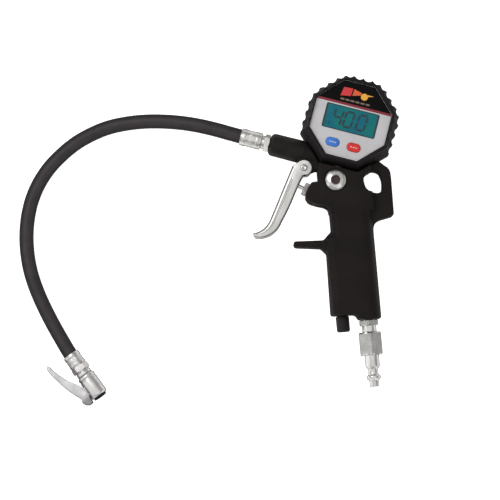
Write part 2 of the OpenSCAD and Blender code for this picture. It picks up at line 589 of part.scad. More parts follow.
// the clip's outer edge from its thumb end to the nose, in the chuck's frame
clip_outer = [
    [-1.2, -20.9], [0.3, -22.4], [5, -22.4], [10.8, -21.4], [19.5, -19.7], [26.4, -17.6], [33, -15],
    [35.8, -13.8], [39.2, -14.7], [41.6, -13.7], [43.2, -11.5]];
clip_inner = [
    [43.2, -7.4], [37.6, -7.2], [36.4, -6.4], [33, -6.4], [30.5, -6.9], [26.5, -8.4], [22.5, -10.6],
    [18, -13.4], [14, -15.3], [8, -17.5], [-1, -19.4]];
clip_sheet = 0.9;
last = len(clip_outer) - 1;
module clip_lever() color(steel) at_chuck() difference() {
    union() {
        for (s = [-1, 1]) translate([0, 0, s * (clip_width - clip_sheet) / 2 - clip_sheet / 2])
            linear_extrude(clip_sheet) polygon(concat(clip_outer, clip_inner));
        translate([0, 0, -clip_width / 2]) linear_extrude(clip_width)
            polygon(concat(clip_outer, [for (i = [0:last]) clip_outer[last - i] + [0, 1.05]]));
        translate([0, 0, -1.6]) linear_extrude(3.2)
            polygon([[36.9, -13.5], [39.4, -13.9], [39.4, -11.2], [38.7, -4.6], [36.9, -4.6]]);
    }
    translate([clip_pivot.x, clip_pivot.y, -8]) cylinder(r = 1.56, h = 16);
}

grip_front_shell();
grip_rear_shell();
shell_screws();
valve_block();
inlet_tube();
transfer_tube();
exhaust_tube();
exhaust_silencer();
block_plug();
block_plug_washer();
gland_nut();
gland_seal();
valve_stem();
valve_poppet();
valve_spring();
spring_seat();
trigger_lever();
pivot_pin();
pivot_clip();
outlet_tube();
arm_sleeve();
hose_fitting();
inlet_nipple();
air_plug();
gauge_boot();
gauge_case();
gauge_stem();
stem_seal();
pressure_sensor();
circuit_board();
button_switches();
display_module();
display_window();
face_panel();
blue_button();
red_button();
batteries();
battery_contacts();
battery_cover();
cover_screws();
hose();
gun_ferrule();
chuck_ferrule();
chuck_adapter();
chuck_body();
chuck_washer();
chuck_depressor();
clip_pin();
clip_spring();
clip_lever();
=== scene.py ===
"""Looks of a pistol-grip tyre inflator that lies on its back: grip, toothed gauge, trigger, hose and chuck.

Every piece is built in millimetres in the frame of the part that it sits on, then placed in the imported
model's frame.
"""

import json
import logging
import math
from dataclasses import dataclass, field
from enum import Enum
from typing import Callable, Mapping, Optional, Sequence, Union

import bmesh
import bpy
from mathutils import Matrix, Vector


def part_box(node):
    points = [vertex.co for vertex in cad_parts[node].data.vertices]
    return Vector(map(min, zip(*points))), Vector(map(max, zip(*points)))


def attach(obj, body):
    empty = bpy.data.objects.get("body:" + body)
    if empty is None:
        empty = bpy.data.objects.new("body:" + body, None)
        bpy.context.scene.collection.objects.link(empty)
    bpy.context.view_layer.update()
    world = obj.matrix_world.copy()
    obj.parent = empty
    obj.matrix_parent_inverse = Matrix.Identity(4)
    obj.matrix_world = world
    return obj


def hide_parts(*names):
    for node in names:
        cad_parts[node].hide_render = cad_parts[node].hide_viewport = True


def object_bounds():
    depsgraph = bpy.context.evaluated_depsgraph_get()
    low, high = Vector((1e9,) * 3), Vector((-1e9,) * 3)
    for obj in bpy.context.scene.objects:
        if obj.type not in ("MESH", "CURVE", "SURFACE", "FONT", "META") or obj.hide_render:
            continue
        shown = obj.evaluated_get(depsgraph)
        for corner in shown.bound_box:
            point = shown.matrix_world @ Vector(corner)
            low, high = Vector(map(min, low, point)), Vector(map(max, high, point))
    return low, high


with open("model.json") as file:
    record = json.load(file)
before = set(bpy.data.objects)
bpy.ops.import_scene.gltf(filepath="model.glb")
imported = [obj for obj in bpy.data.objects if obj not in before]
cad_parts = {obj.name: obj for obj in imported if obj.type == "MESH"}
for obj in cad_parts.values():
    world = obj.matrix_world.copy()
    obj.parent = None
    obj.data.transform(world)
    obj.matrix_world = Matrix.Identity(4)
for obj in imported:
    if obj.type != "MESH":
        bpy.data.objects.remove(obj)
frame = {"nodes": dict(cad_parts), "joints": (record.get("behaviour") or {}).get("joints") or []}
CAD_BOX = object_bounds()

LOG = logging.getLogger("inflator")
MM = 0.001
HOSE_LAY = "lay"
# In millimetres: over what length a metal's painted shade darkens, and how close two points are to be welded
# into one.
PAINTED_SHADE_FADE = 4.0
SAME_POINT = 0.00002
SAME_CAD_POINT = 0.002
Colour = tuple[float, float, float]
Point = Sequence[float]
Form = Callable[[float, float, float], float]


class Body(Enum):
    """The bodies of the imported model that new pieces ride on."""

    GUN = "gun"
    TRIGGER = "trigger"
    BLUE_KEY = "key_blue"
    RED_KEY = "key_red"
    CLIP = "clip"


class Slot(Enum):
    """The record's material slots, each new piece naming one; its finish is given apart."""

    BODY_PLASTIC = "body_plastic"
    BOOT_RUBBER = "boot_rubber"
    HOSE_RUBBER = "hose_rubber"
    SLEEVE_RUBBER = "sleeve_rubber"
    CAST_ALLOY = "cast_alloy"
    PLATED_STEEL = "plated_steel"
    TURNED_STEEL = "turned_steel"
    DARK_STEEL = "dark_steel"
    PANEL = "panel"
    WINDOW = "window"
    DISPLAY = "display"
    BLUE_KEY = "blue_key"
    RED_KEY = "red_key"


# ---- Shader maths ----


@dataclass(frozen=True)
class Signal:
    """A shader socket that Python's arithmetic works on, a Math node for each operation."""

    recipe: "Recipe"
    socket: bpy.types.NodeSocket

    def _maths(self, operation: str, first: "Input", second: "Input" = 0.0) -> "Signal":
        """Adds one Math node.

        Args:
            operation: The Math node's operation.
            first: Its first input.
            second: Its second input.

        Returns:
            The node's result.
        """
        return self.recipe.node("ShaderNodeMath", {"operation": operation}, {0: first, 1: second})

    def __add__(self, other: "Input") -> "Signal":
        """Adds a signal or a number."""
        return self._maths("ADD", self, other)

    def __radd__(self, other: "Input") -> "Signal":
        """Adds this signal to a number."""
        return self._maths("ADD", other, self)

    def __sub__(self, other: "Input") -> "Signal":
        """Takes a signal or a number away."""
        return self._maths("SUBTRACT", self, other)

    def __rsub__(self, other: "Input") -> "Signal":
        """Takes this signal away from a number."""
        return self._maths("SUBTRACT", other, self)

    def __mul__(self, other: "Input") -> "Signal":
        """Multiplies by a signal or a number."""
        return self._maths("MULTIPLY", self, other)

    def __rmul__(self, other: "Input") -> "Signal":
        """Multiplies a number by this signal."""
        return self._maths("MULTIPLY", other, self)

    def sine(self) -> "Signal":
        """Returns the sine of this signal, which is in radians."""
        return self._maths("SINE", self)

    def between(self, low: float, high: float) -> "Signal":
        """Rises smoothly from 0 at low to 1 at high, and stays there.

        Args:
            low: The value that gives 0.
            high: The value that gives 1.

        Returns:
            The eased share.
        """
        sockets = {"Value": self, "From Min": low, "From Max": high}
        return self.recipe.node("ShaderNodeMapRange", {"interpolation_type": "SMOOTHSTEP"}, sockets)


Input = Union[Signal, float, Sequence[float]]


class Recipe:
    """A material or the room being painted: its node tree and its one shader."""

    def __init__(self, owner: Union[bpy.types.Material, bpy.types.World]) -> None:
        """Starts with the owner's bare shader.

        Args:
            owner: The new material or world.
        """
        owner.use_nodes = True
        self.tree = owner.node_tree
        self.shader = next(node for node in self.tree.nodes if node.type in ("BSDF_PRINCIPLED", "BACKGROUND"))

    def node(self, kind: str, settings: Mapping[str, object] | None = None,
             sockets: Mapping[Union[int, str], Input] | None = None, out: Union[int, str] = 0) -> Signal:
        """Adds one node of any type.

        Args:
            kind: The node's type.
            settings: Its properties, set first. "stops" holds a ramp's positions and colours.
            sockets: Values or signals for its inputs, by name or place.
            out: The output to hand back.

        Returns:
            The signal at that output.
        """
        made = self.tree.nodes.new(kind)
        for name, value in (settings or {}).items():
            if name == "stops":
                for k, (at, colour) in enumerate(value):
                    stop = made.color_ramp.elements[k] if k < 2 else made.color_ramp.elements.new(at)
                    stop.position, stop.color = at, (*colour, 1.0)
            else:
                setattr(made, name, value)
        for name, value in (sockets or {}).items():
            self.feed(made.inputs[name], value)
        return Signal(self, made.outputs[out])

    def feed(self, socket: bpy.types.NodeSocket, value: Input) -> None:
        """Gives a socket its value.

        Args:
            socket: The input to set.
            value: A signal to link, or a number, vector or colour to hold.
        """
        if isinstance(value, Signal):
            self.tree.links.new(value.socket, socket)
        elif socket.type == "RGBA" and len(value) == 3:
            socket.default_value = (*value, 1.0)
        else:
            socket.default_value = value

    def here(self) -> Signal:
        """Returns the point on the piece, in metres in its own frame."""
        return self.node("ShaderNodeTexCoord", out="Object")

    def edges(self) -> Signal:
        """Returns how far the surface is a ridge, about 0.5 where it is flat."""
        return self.node("ShaderNodeNewGeometry", out="Pointiness")

    def turned_away(self) -> Signal:
        """Returns how far the surface is turned away from the eye, from 0 to 1."""
        return self.node("ShaderNodeLayerWeight", {}, {"Blend": 0.5}, "Facing")

    def noise(self, across: float, detail: float = 2.0, at: Optional[Signal] = None) -> Signal:
        """Adds soft noise.

        Args:
            across: The size of its patches in millimetres.
            detail: How many finer layers it has.
            at: Where it is read, which is the point on the piece unless given.

        Returns:
            Noise about 0.5.
        """
        sockets = {"Vector": at or self.here(), "Scale": 1.0 / (across * MM), "Detail": detail}
        return self.node("ShaderNodeTexNoise", {}, sockets, "Fac")

    def cells(self, across: float) -> Signal:
        """Returns the distance from the middle of small cells that are so many millimetres across."""
        sockets = {"Vector": self.here(), "Scale": 1.0 / (across * MM), "Randomness": 1.0}
        return self.node("ShaderNodeTexVoronoi", {"feature": "F1"}, sockets, "Distance")

    def drawn(self, heading: float, across: float, stretch: float) -> Signal:
        """Adds marks drawn out in one direction across the table.

        Args:
            heading: The direction of the marks, in degrees from +X.
            across: The width of a mark in millimetres.
            stretch: How many times longer than wide a mark is.

        Returns:
            Noise about 0.5, in long streaks.
        """
        turn = (0.0, 0.0, math.radians(-heading))
        turned = self.node("ShaderNodeMapping", {}, {"Vector": self.here(), "Rotation": turn}, "Vector")
        shrink = {0: turned, 1: (1.0 / stretch, 1.0, 1.0)}
        at = self.node("ShaderNodeVectorMath", {"operation": "MULTIPLY"}, shrink, "Vector")
        return self.noise(across, 3.0, at)

    def along(self, axis: Point) -> Signal:
        """Returns how far the point on the piece lies along an axis, in metres."""
        sockets = {0: self.here(), 1: tuple(axis)}
        return self.node("ShaderNodeVectorMath", {"operation": "DOT_PRODUCT"}, sockets, "Value")

    def rings(self, axis: Point, pitch: float) -> Signal:
        """Adds the fine rings that a lathe leaves.

        Args:
            axis: The direction of the part's axis.
            pitch: The distance between rings in millimetres.

        Returns:
            A wave from -1 to 1 along the axis.
        """
        return (self.along(axis) * (2 * math.pi / (pitch * MM))).sine()

    def blend(self, share: Input, first: Input, second: Input) -> Signal:
        """Mixes two colours.

        Args:
            share: 0 for the first colour, 1 for the second.
            first: The first colour.
            second: The second colour.

        Returns:
            The mixed colour.
        """
        return self.node("ShaderNodeMix", {"data_type": "RGBA"}, {0: share, 6: first, 7: second}, 2)

    def surface(self, colour: Input, roughness: Input, height: Optional[Signal] = None, depth: float = 0.02,
                **constants: float) -> None:
        """Feeds the shader.

        Args:
            colour: The base colour.
            roughness: The roughness.
            height: The relief, from 0 to 1.
            depth: The height of that relief in millimetres.
            constants: Numbers for the shader's other sockets, with _ for a space.
        """
        self.feed(self.shader.inputs["Base Color"], colour)
        self.feed(self.shader.inputs["Roughness"], roughness)
        if height is not None:
            sockets = {"Strength": 1.0, "Distance": depth * MM, "Height": height}
            self.feed(self.shader.inputs["Normal"], self.node("ShaderNodeBump", {}, sockets))
        for name, value in constants.items():
            self.shader.inputs[name.replace("_", " ")].default_value = value


def paint_colour(red: int, green: int, blue: int) -> Colour:
    """Turns a colour as a screen shows it into the light that it stands for.

    Args:
        red: Red, from 0 to 255.
        green: Green, from 0 to 255.
        blue: Blue, from 0 to 255.

    Returns:
        The linear colour.
    """
    shown = [value / 255 for value in (red, green, blue)]
    return tuple(((c + 0.055) / 1.055) ** 2.4 if c > 10 / 255 else c / 12.92 for c in shown)


def shade(colour: Colour, times: float) -> Colour:
    """Returns a colour made lighter or darker by a factor."""
    return tuple(min(1.0, c * times) for c in colour)


# ---- Finishes ----


@dataclass(frozen=True)
class Finish:
    """A surface: its colour and gloss, which each kind of finish varies in its own way."""

    name: str
    colour: Colour
    roughness: float

    def material(self) -> bpy.types.Material:
        """Gives the finish's material, which is painted the first time.

        Returns:
            The material.
        """
        if self.name in bpy.data.materials:
            return bpy.data.materials[self.name]
        made = bpy.data.materials.new(self.name)
        self.paint(Recipe(made))
        return made

    def paint(self, recipe: Recipe) -> None:
        """Paints the finish.

        Args:
            recipe: The material to paint.
        """
        raise NotImplementedError


@dataclass(frozen=True)
class MouldedPlastic(Finish):
    """Moulded plastic with a fine spark-eroded grain, a little polished where hands rub its edges."""

    grain: float = 0.5
    relief: float = 0.02
    wear: float = 0.5
    gloss: float = 0.22

    def paint(self, recipe: Recipe) -> None:
        """Paints flow clouds, grain and rubbed edges.

        Args:
            recipe: The material to paint.
        """
        cloud, fleck, pits = recipe.noise(22, 3), recipe.noise(0.9), recipe.cells(self.grain)
        rubbed = recipe.edges().between(0.53, 0.66) * recipe.noise(4).between(0.4, 0.65) * self.wear
        tone = recipe.blend(cloud.between(0.3, 0.7), shade(self.colour, 0.82), shade(self.colour, 1.18))
        tone = recipe.blend(fleck.between(0.6, 0.85) * 0.5, tone, shade(self.colour, 1.9))
        tone = recipe.blend(rubbed, tone, shade(self.colour, 2.6))
        away = recipe.turned_away().between(0.4, 0.9)
        rough = cloud * 0.12 + fleck * 0.1 - rubbed * 0.15 + away * 0.5 + (self.roughness - 0.11)
        recipe.surface(tone, rough, pits * 0.7 + fleck * 0.3, self.relief, Specular_IOR_Level=self.gloss)


@dataclass(frozen=True)
class Rubber(Finish):
    """Matt moulded rubber with a faint bloom, dusty in its hollows."""

    dust: float = 0.25

    def paint(self, recipe: Recipe) -> None:
        """Paints bloom, dust and a soft skin.

        Args:
            recipe: The material to paint.
        """
        bloom, skin = recipe.noise(9, 4), recipe.noise(0.6, 3)
        hollow = recipe.edges().between(0.5, 0.42) * recipe.noise(2.5).between(0.35, 0.7) * self.dust
        tone = recipe.blend(bloom.between(0.35, 0.7), shade(self.colour, 0.8), shade(self.colour, 1.25))
        tone = recipe.blend(hollow, tone, paint_colour(104, 98, 92))
        away = recipe.turned_away().between(0.4, 0.9)
        rough = bloom * 0.14 + skin * 0.08 + away * 0.45 + (self.roughness - 0.11)
        recipe.surface(tone, rough, skin, 0.03, Specular_IOR_Level=0.18)


@dataclass(frozen=True)
class WrappedRubber(Finish):
    """Hose rubber cured in a cloth wrap, whose weave is pressed into the cover.

    Its pitch is the weave's along the hose, and its threads are how many go round it.
    """

    pitch: float = 1.1
    threads: int = 28

    def paint(self, recipe: Recipe) -> None:
        """Paints the pressed weave, which crosses along and around the hose, scuffs, and painted shade on its
        sides where they turn from the eye.

        Args:
            recipe: The material to paint.
        """
        lay = recipe.node("ShaderNodeAttribute", {"attribute_name": HOSE_LAY}, out="Vector")
        along = recipe.node("ShaderNodeSeparateXYZ", {}, {0: lay}, "X")
        around = recipe.node("ShaderNodeSeparateXYZ", {}, {0: lay}, "Y")
        steps = along * (2 * math.pi / (self.pitch * MM))
        weave = (steps + around * self.threads).sine() * (steps - around * self.threads).sine()
        scuff, cloud, skin = recipe.drawn(40, 0.8, 9), recipe.noise(14, 3), recipe.noise(0.7, 2)
        tone = recipe.blend(cloud.between(0.3, 0.7), shade(self.colour, 0.8), shade(self.colour, 1.2))
        tone = recipe.blend(scuff.between(0.62, 0.8) * 0.3, tone, shade(self.colour, 2.0))
        # Painted shade: the colour darkens where the hose turns away from the eye, leaving its middle
        # lighter.
        away = recipe.turned_away().between(0.0, 0.4)
        tone = recipe.blend(away, tone, shade(self.colour, 0.25))
        rough = cloud * 0.14 + skin * 0.1 + away * 0.35 + (self.roughness - 0.12)
        recipe.surface(tone, rough, weave * 0.35 + skin * 0.4 + 0.3, 0.035, Specular_IOR_Level=0.24)


@dataclass(frozen=True)
class Metal(Finish):
    """Plated or turned metal: polishing marks, handling haze, and lathe rings where it has an axis.

    Its heading is that of the marks, in degrees. Past a given point on its axis, in millimetres, painted
    shade darkens it.
    """

    heading: float = 90.0
    axis: Optional[tuple[float, float, float]] = None
    pitch: float = 0.35
    haze: float = 0.12
    # How strongly painted shade darkens the colour where the surface turns from the eye.
    painted_edge_shade: float = 0.8
    painted_shade_from: Optional[float] = None

    def paint(self, recipe: Recipe) -> None:
        """Paints haze, fine marks, darker hollows, lathe rings, and painted shade where the surface turns
        from the eye and past a point on its axis.

        Args:
            recipe: The material to paint.
        """
        cloud, marks, dots = recipe.noise(7, 3), recipe.drawn(self.heading, 0.35, 14), recipe.noise(0.8, 3)
        # The colour darkens in the hollows.
        hollow_darkening = recipe.edges().between(0.49, 0.4) * 0.55
        tone = recipe.blend(cloud.between(0.3, 0.75), shade(self.colour, 0.88), shade(self.colour, 1.06))
        tone = recipe.blend(marks.between(0.6, 0.8) * 0.15, tone, shade(self.colour, 0.75))
        tone = recipe.blend(hollow_darkening, tone, shade(self.colour, 0.25))
        # Painted shade: the colour darkens where the surface turns away from the eye.
        away = recipe.turned_away().between(0.15, 0.8)
        tone = recipe.blend(away * self.painted_edge_shade, tone, shade(self.colour, 0.2))
        # Painted shade: past the given point along the axis the colour darkens, as the clip's nose lies in
        # shade.
        if self.axis is not None and self.painted_shade_from is not None:
            painted_shade = recipe.along(self.axis).between(self.painted_shade_from * MM, (self.painted_shade_from + PAINTED_SHADE_FADE) * MM)
            tone = recipe.blend(painted_shade * 0.75, tone, shade(self.colour, 0.3))
        rough = cloud * self.haze + marks * 0.08 + away * 0.6 + (self.roughness - self.haze / 2 - 0.04)
        height = marks * 0.6 + dots * 0.2
        if self.axis is not None:
            height = height * 0.6 + recipe.rings(self.axis, self.pitch) * 0.2 + 0.2
        recipe.surface(tone, rough, height, 0.0015, Metallic=1.0)


@dataclass(frozen=True)
class CastMetal(Finish):
    """Tumbled die casting: a soft pebbled skin, brighter on its ridges and grey in its hollows."""

    pebble: float = 0.55
    relief: float = 0.03

    def paint(self, recipe: Recipe) -> None:
        """Paints the pebbled skin, flow marks, rubbed ridges and dull edges.

        Args:
            Paints the pebbled skin, flow marks, rubbed ridges and painted shade where the surface turns from
            the eye.
        """
        skin, flow = recipe.noise(self.pebble, 3), recipe.drawn(240, 2.2, 6)
        ridge, hollow = recipe.edges().between(0.52, 0.62), recipe.edges().between(0.48, 0.4)
        tone = recipe.blend(flow.between(0.35, 0.7), shade(self.colour, 0.84), shade(self.colour, 1.05))
        tone = recipe.blend(ridge * 0.6, tone, shade(self.colour, 1.25))
        tone = recipe.blend(hollow * 0.6, tone, shade(self.colour, 0.35))
        # Painted shade: the colour darkens where the surface turns away from the eye.
        away = recipe.turned_away().between(0.02, 0.32)
        tone = recipe.blend(away * 0.75, tone, shade(self.colour, 0.2))
        rough = skin * 0.12 + flow * 0.1 - ridge * 0.1 + away * 0.6 + (self.roughness - 0.1)
        recipe.surface(tone, rough, skin * 0.8 + flow * 0.2, self.relief, Metallic=1.0)


@dataclass(frozen=True)
class PrintedFilm(Finish):
    """Ink printed on a clear lacquered film: a faint dot screen under an even gloss."""

    lacquer: float = 0.3
    gloss: float = 0.35

    def paint(self, recipe: Recipe) -> None:
        """Paints the dot screen, a faint unevenness and dull specks.

        Args:
            recipe: The material to paint.
        """
        screen, cloud, speck = recipe.cells(0.22), recipe.noise(12, 2), recipe.noise(0.5, 2)
        tone = recipe.blend(cloud.between(0.3, 0.7), shade(self.colour, 0.94), shade(self.colour, 1.03))
        tone = recipe.blend(screen.between(0.35, 0.7) * 0.2, tone, shade(self.colour, 0.86))
        rough = cloud * 0.1 + speck * 0.08 + (self.roughness - 0.09)
        recipe.surface(tone, rough, speck * 0.5 + screen * 0.5, 0.004, Coat_Weight=self.lacquer,
                       Coat_Roughness=0.2, Specular_IOR_Level=self.gloss)


@dataclass(frozen=True)
class DisplayGlass(Finish):
    """The backlit display under its lens: two teals in random patches, with the faint rows of its electrodes.
    """

    far: Colour = (0.0, 0.15, 0.18)
    heading: float = -19.5
    row: float = 0.55

    def paint(self, recipe: Recipe) -> None:
        """Paints random patches of two teals and the electrode rows under a glossy coat.

        Args:
            recipe: The material to paint.
        """
        across = Vector((math.cos(math.radians(self.heading)), math.sin(math.radians(self.heading)), 0))
        rows = recipe.rings(across.cross(Vector((0, 0, 1))), self.row)
        cloud, dust = recipe.noise(16, 2), recipe.noise(0.7, 2)
        tone = recipe.blend(cloud.between(0.32, 0.68), self.colour, self.far)
        tone = recipe.blend(rows.between(0.2, 1.0) * 0.12, tone, shade(self.colour, 0.6))
        rough = dust * 0.08 + (self.roughness - 0.04)
        recipe.surface(tone, rough, dust, 0.002, Coat_Weight=0.12, Coat_Roughness=0.06,
                       Specular_IOR_Level=0.15)


@dataclass(frozen=True)
class CircuitLacquer(Finish):
    """Green lacquer over copper tracks."""

    copper: Colour = (0.35, 0.3, 0.08)

    def paint(self, recipe: Recipe) -> None:
        """Paints tracks as the walls of large cells.

        Args:
            recipe: The material to paint.
        """
        sockets = {"Vector": recipe.here(), "Scale": 1.0 / (3.2 * MM), "Randomness": 0.35}
        shape = {"feature": "DISTANCE_TO_EDGE", "distance": "EUCLIDEAN"}
        track = recipe.node("ShaderNodeTexVoronoi", shape, sockets, "Distance").between(0.09, 0.05)
        tone = recipe.blend(track * 0.7, self.colour, self.copper)
        recipe.surface(tone, recipe.noise(1.5) * 0.15 + self.roughness, track, 0.03)


@dataclass(frozen=True)
class CellWrap(Finish):
    """The printed sleeve of a battery cell: a dark wrap with a warm band near one end."""

    band: Colour = (0.6, 0.3, 0.1)
    axis: tuple[float, float, float] = (0.9426, -0.3338, 0.0)
    band_from: float = 0.011
    band_edge: float = 0.0002

    def paint(self, recipe: Recipe) -> None:
        """Paints the band by how far a point lies along the cell, in metres.

        Args:
            recipe: The material to paint.
        """
        banded = recipe.along(self.axis).between(self.band_from, self.band_from + self.band_edge)
        tone = recipe.blend(banded, self.colour, self.band)
        recipe.surface(tone, recipe.noise(2) * 0.1 + self.roughness, recipe.noise(0.8), 0.01)


CHUCK_AXIS = (0.5145, -0.8564, 0.0436)
SHELL_BLACK = MouldedPlastic("shell_black", paint_colour(29, 25, 23), 0.55, gloss=0.1)
SLEEVE_BLACK = Rubber("sleeve_black", paint_colour(28, 24, 22), 0.6, dust=0.1)
BOOT_BLACK = Rubber("boot_black", paint_colour(24, 20, 21), 0.62, dust=0.08)
SEAL_BLACK = Rubber("seal_black", paint_colour(24, 23, 23), 0.5, dust=0.1)
HOSE_BLACK = WrappedRubber("hose_black", paint_colour(56, 51, 52), 0.46)
CASE_BLACK = MouldedPlastic("case_black", paint_colour(30, 30, 32), 0.48, grain=0.7)
COVER_BLACK = MouldedPlastic("cover_black", paint_colour(34, 34, 35), 0.5, grain=0.4, relief=0.03)
STUB_BLACK = MouldedPlastic("stub_black", paint_colour(30, 26, 27), 0.6, grain=0.9, relief=0.06)
LEVER_ALLOY = CastMetal("lever_alloy", (0.74, 0.73, 0.71), 0.36)
BLOCK_ALLOY = CastMetal("block_alloy", (0.5, 0.5, 0.52), 0.42, pebble=0.8)
BLOCK_BLACK = CastMetal("block_black", (0.012, 0.011, 0.011), 0.6, pebble=0.8)
BRIGHT_NICKEL = Metal("bright_nickel", (0.74, 0.73, 0.7), 0.22)
GRIP_TURNED = Metal("grip_turned", (0.74, 0.73, 0.71), 0.2, axis=(0, 1, 0))
ARM_TURNED = Metal("arm_turned", (0.7, 0.69, 0.66), 0.3, heading=160.5, axis=(-0.9426, 0.3338, 0))
CHUCK_TURNED = Metal("chuck_turned", (0.7, 0.68, 0.67), 0.3, heading=-59, axis=CHUCK_AXIS)
# The clip's nose is darkened past -9.5 mm along the chuck's axis: painted shade.
CLIP_SHEET = Metal("clip_sheet", (0.56, 0.55, 0.555), 0.3, axis=CHUCK_AXIS, pitch=0.9, haze=0.16,
                   painted_shade_from=-9.5)
DARK_STEEL = Metal("dark_steel", (0.3, 0.29, 0.28), 0.36)
GLAND_STEEL = Metal("gland_steel", (0.56, 0.55, 0.54), 0.3)
PIN_STEEL = Metal("pin_steel", (0.62, 0.61, 0.6), 0.34)
# Blacked steel for hidden tubes; in the cross plug's socket the same dark finish is painted shade.
BLACKED_STEEL_AND_SOCKET_SHADE = Metal("blacked_steel_and_socket_shade", (0.08, 0.055, 0.055), 0.5)
SPRING_WIRE = Metal("spring_wire", (0.5, 0.5, 0.5), 0.3)
TURNED_BRASS = Metal("turned_brass", (0.72, 0.54, 0.26), 0.26, axis=(0, 1, 0))
SENSOR_CAN = Metal("sensor_can", (0.66, 0.66, 0.67), 0.32, haze=0.2)
PANEL_PALE = PrintedFilm("panel_pale", paint_colour(205, 203, 205), 0.42)
LABEL_BLACK = PrintedFilm("label_black", paint_colour(9, 7, 8), 0.42, lacquer=0.03, gloss=0.06)
LABEL_STRIPE = PrintedFilm("label_stripe", paint_colour(134, 18, 38), 0.36)
LABEL_RED = PrintedFilm("label_red", paint_colour(214, 44, 50), 0.36)
LABEL_ORANGE = PrintedFilm("label_orange", paint_colour(222, 96, 40), 0.36)
LABEL_AMBER = PrintedFilm("label_amber", paint_colour(244, 176, 60), 0.36)
LABEL_GREY = PrintedFilm("label_grey", paint_colour(122, 106, 92), 0.4)
KEY_BLUE = MouldedPlastic("key_blue_plastic", paint_colour(64, 118, 200), 0.38, grain=0.3, relief=0.008,
                          wear=0.1)
KEY_RED = MouldedPlastic("key_red_plastic", paint_colour(226, 58, 52), 0.38, grain=0.3, relief=0.008,
                         wear=0.1)
KEY_MARK = PrintedFilm("key_mark", paint_colour(236, 236, 238), 0.4)
LENS_TEAL = DisplayGlass("lens_teal", paint_colour(4, 118, 116), 0.16, far=paint_colour(4, 104, 126))
SEGMENT_DARK = PrintedFilm("segment_dark", paint_colour(1, 52, 60), 0.3)
LENS_EDGE = PrintedFilm("lens_edge", paint_colour(10, 40, 50), 0.3, lacquer=0.5)
MODULE_TEAL = DisplayGlass("module_teal", paint_colour(8, 96, 98), 0.3, far=paint_colour(4, 70, 80))
BOARD_GREEN = CircuitLacquer("board_green", (0.01, 0.14, 0.05), 0.35)
CELL_WRAP = CellWrap("cell_wrap", paint_colour(40, 40, 44), 0.35)
SWITCH_PLASTIC = MouldedPlastic("switch_plastic", paint_colour(214, 212, 208), 0.45, wear=0.1)


# ---- Outlines and meshes ----


def arc(centre: Point, radius: float, start: float, end: float, steps: int = 8) -> list[Vector]:
    """Points on a flat arc.

    Args:
        centre: Its centre.
        radius: Its radius.
        start: The angle that it starts at, in degrees.
        end: The angle that it ends at.
        steps: How many chords it has.

    Returns:
        The points, both ends among them.
    """
    angles = [math.radians(start + (end - start) * k / steps) for k in range(steps + 1)]
    return [Vector((centre[0] + radius * math.cos(a), centre[1] + radius * math.sin(a))) for a in angles]


def eased(points: Sequence[Point], ease: float, closed: bool = False, steps: int = 3) -> list[Vector]:
    """Rounds the corners of a flat path.

    Args:
        points: The path's corners.
        ease: How far from a corner its rounding starts, at most.
        closed: Whether the last corner joins the first.
        steps: How many chords a rounding has.

    Returns:
        The rounded path.
    """
    path, count, rounded = [Vector(p) for p in points], len(points), []
    for k, corner in enumerate(path):
        if not closed and k in (0, count - 1):
            rounded.append(corner)
            continue
        before, after = path[k - 1] - corner, path[(k + 1) % count] - corner
        reach = min(ease, before.length * 0.48, after.length * 0.48)
        first, last = corner + before.normalized() * reach, corner + after.normalized() * reach
        for step in range(steps + 1):
            t = step / steps
            rounded.append(first * (1 - t) ** 2 + corner * 2 * t * (1 - t) + last * t * t)
    return rounded


def inset(outline: Sequence[Vector], depth: float) -> list[Vector]:
    """Moves an outline that runs anticlockwise inwards.

    Args:
        outline: The closed outline.
        depth: How far each side moves.

    Returns:
        The smaller outline, with as many points.
    """
    moved = []
    for k, here in enumerate(outline):
        before, after = here - outline[k - 1], outline[(k + 1) % len(outline)] - here
        first = Vector((-before.y, before.x)).normalized()
        last = Vector((-after.y, after.x)).normalized()
        middle = (first + last).normalized()
        moved.append(here + middle * (depth / max(0.5, middle.dot(last))))
    return moved


def stadium(length: float, width: float) -> list[Vector]:
    """Returns the outline of a slot with round ends, about the origin."""
    reach = (length - width) / 2
    return arc((reach, 0), width / 2, -90, 90, 14) + arc((-reach, 0), width / 2, 90, 270, 14)


def bar(length: float, width: float, ease: float = 0.0) -> list[Vector]:
    """Makes the outline of a rectangle about the origin.

    Args:
        length: Its size along X.
        width: Its size along Y.
        ease: How far its corners are rounded, if they are.

    Returns:
        The outline, anticlockwise.
    """
    x, y = length / 2, width / 2
    corners = [Vector(p) for p in ((-x, -y), (x, -y), (x, y), (-x, y))]
    return eased(corners, ease, True, 6) if ease else corners


def hexagon(across: float) -> Form:
    """Makes the form that cuts a round bar to a hexagon.

    Args:
        across: The hexagon's width across its flats.

    Returns:
        A form for turned().
    """
    def cut(angle: float, radius: float, _height: float) -> float:
        """Returns the smaller of the bar's radius and the hexagon's."""
        return min(radius, polygon_radius(angle, across / 2, 6))
    return cut


def polygon_radius(angle: float, flat: float, sides: int, turn: float = 0.0) -> float:
    """Finds how far the side of a regular polygon is from its middle.

    Args:
        angle: The direction, in radians.
        flat: The distance from the middle to a flat.
        sides: How many sides it has.
        turn: The direction of the middle of one side, in radians.

    Returns:
        The distance in that direction.
    """
    step = 2 * math.pi / sides
    return flat / math.cos((angle - turn + step / 2) % step - step / 2)


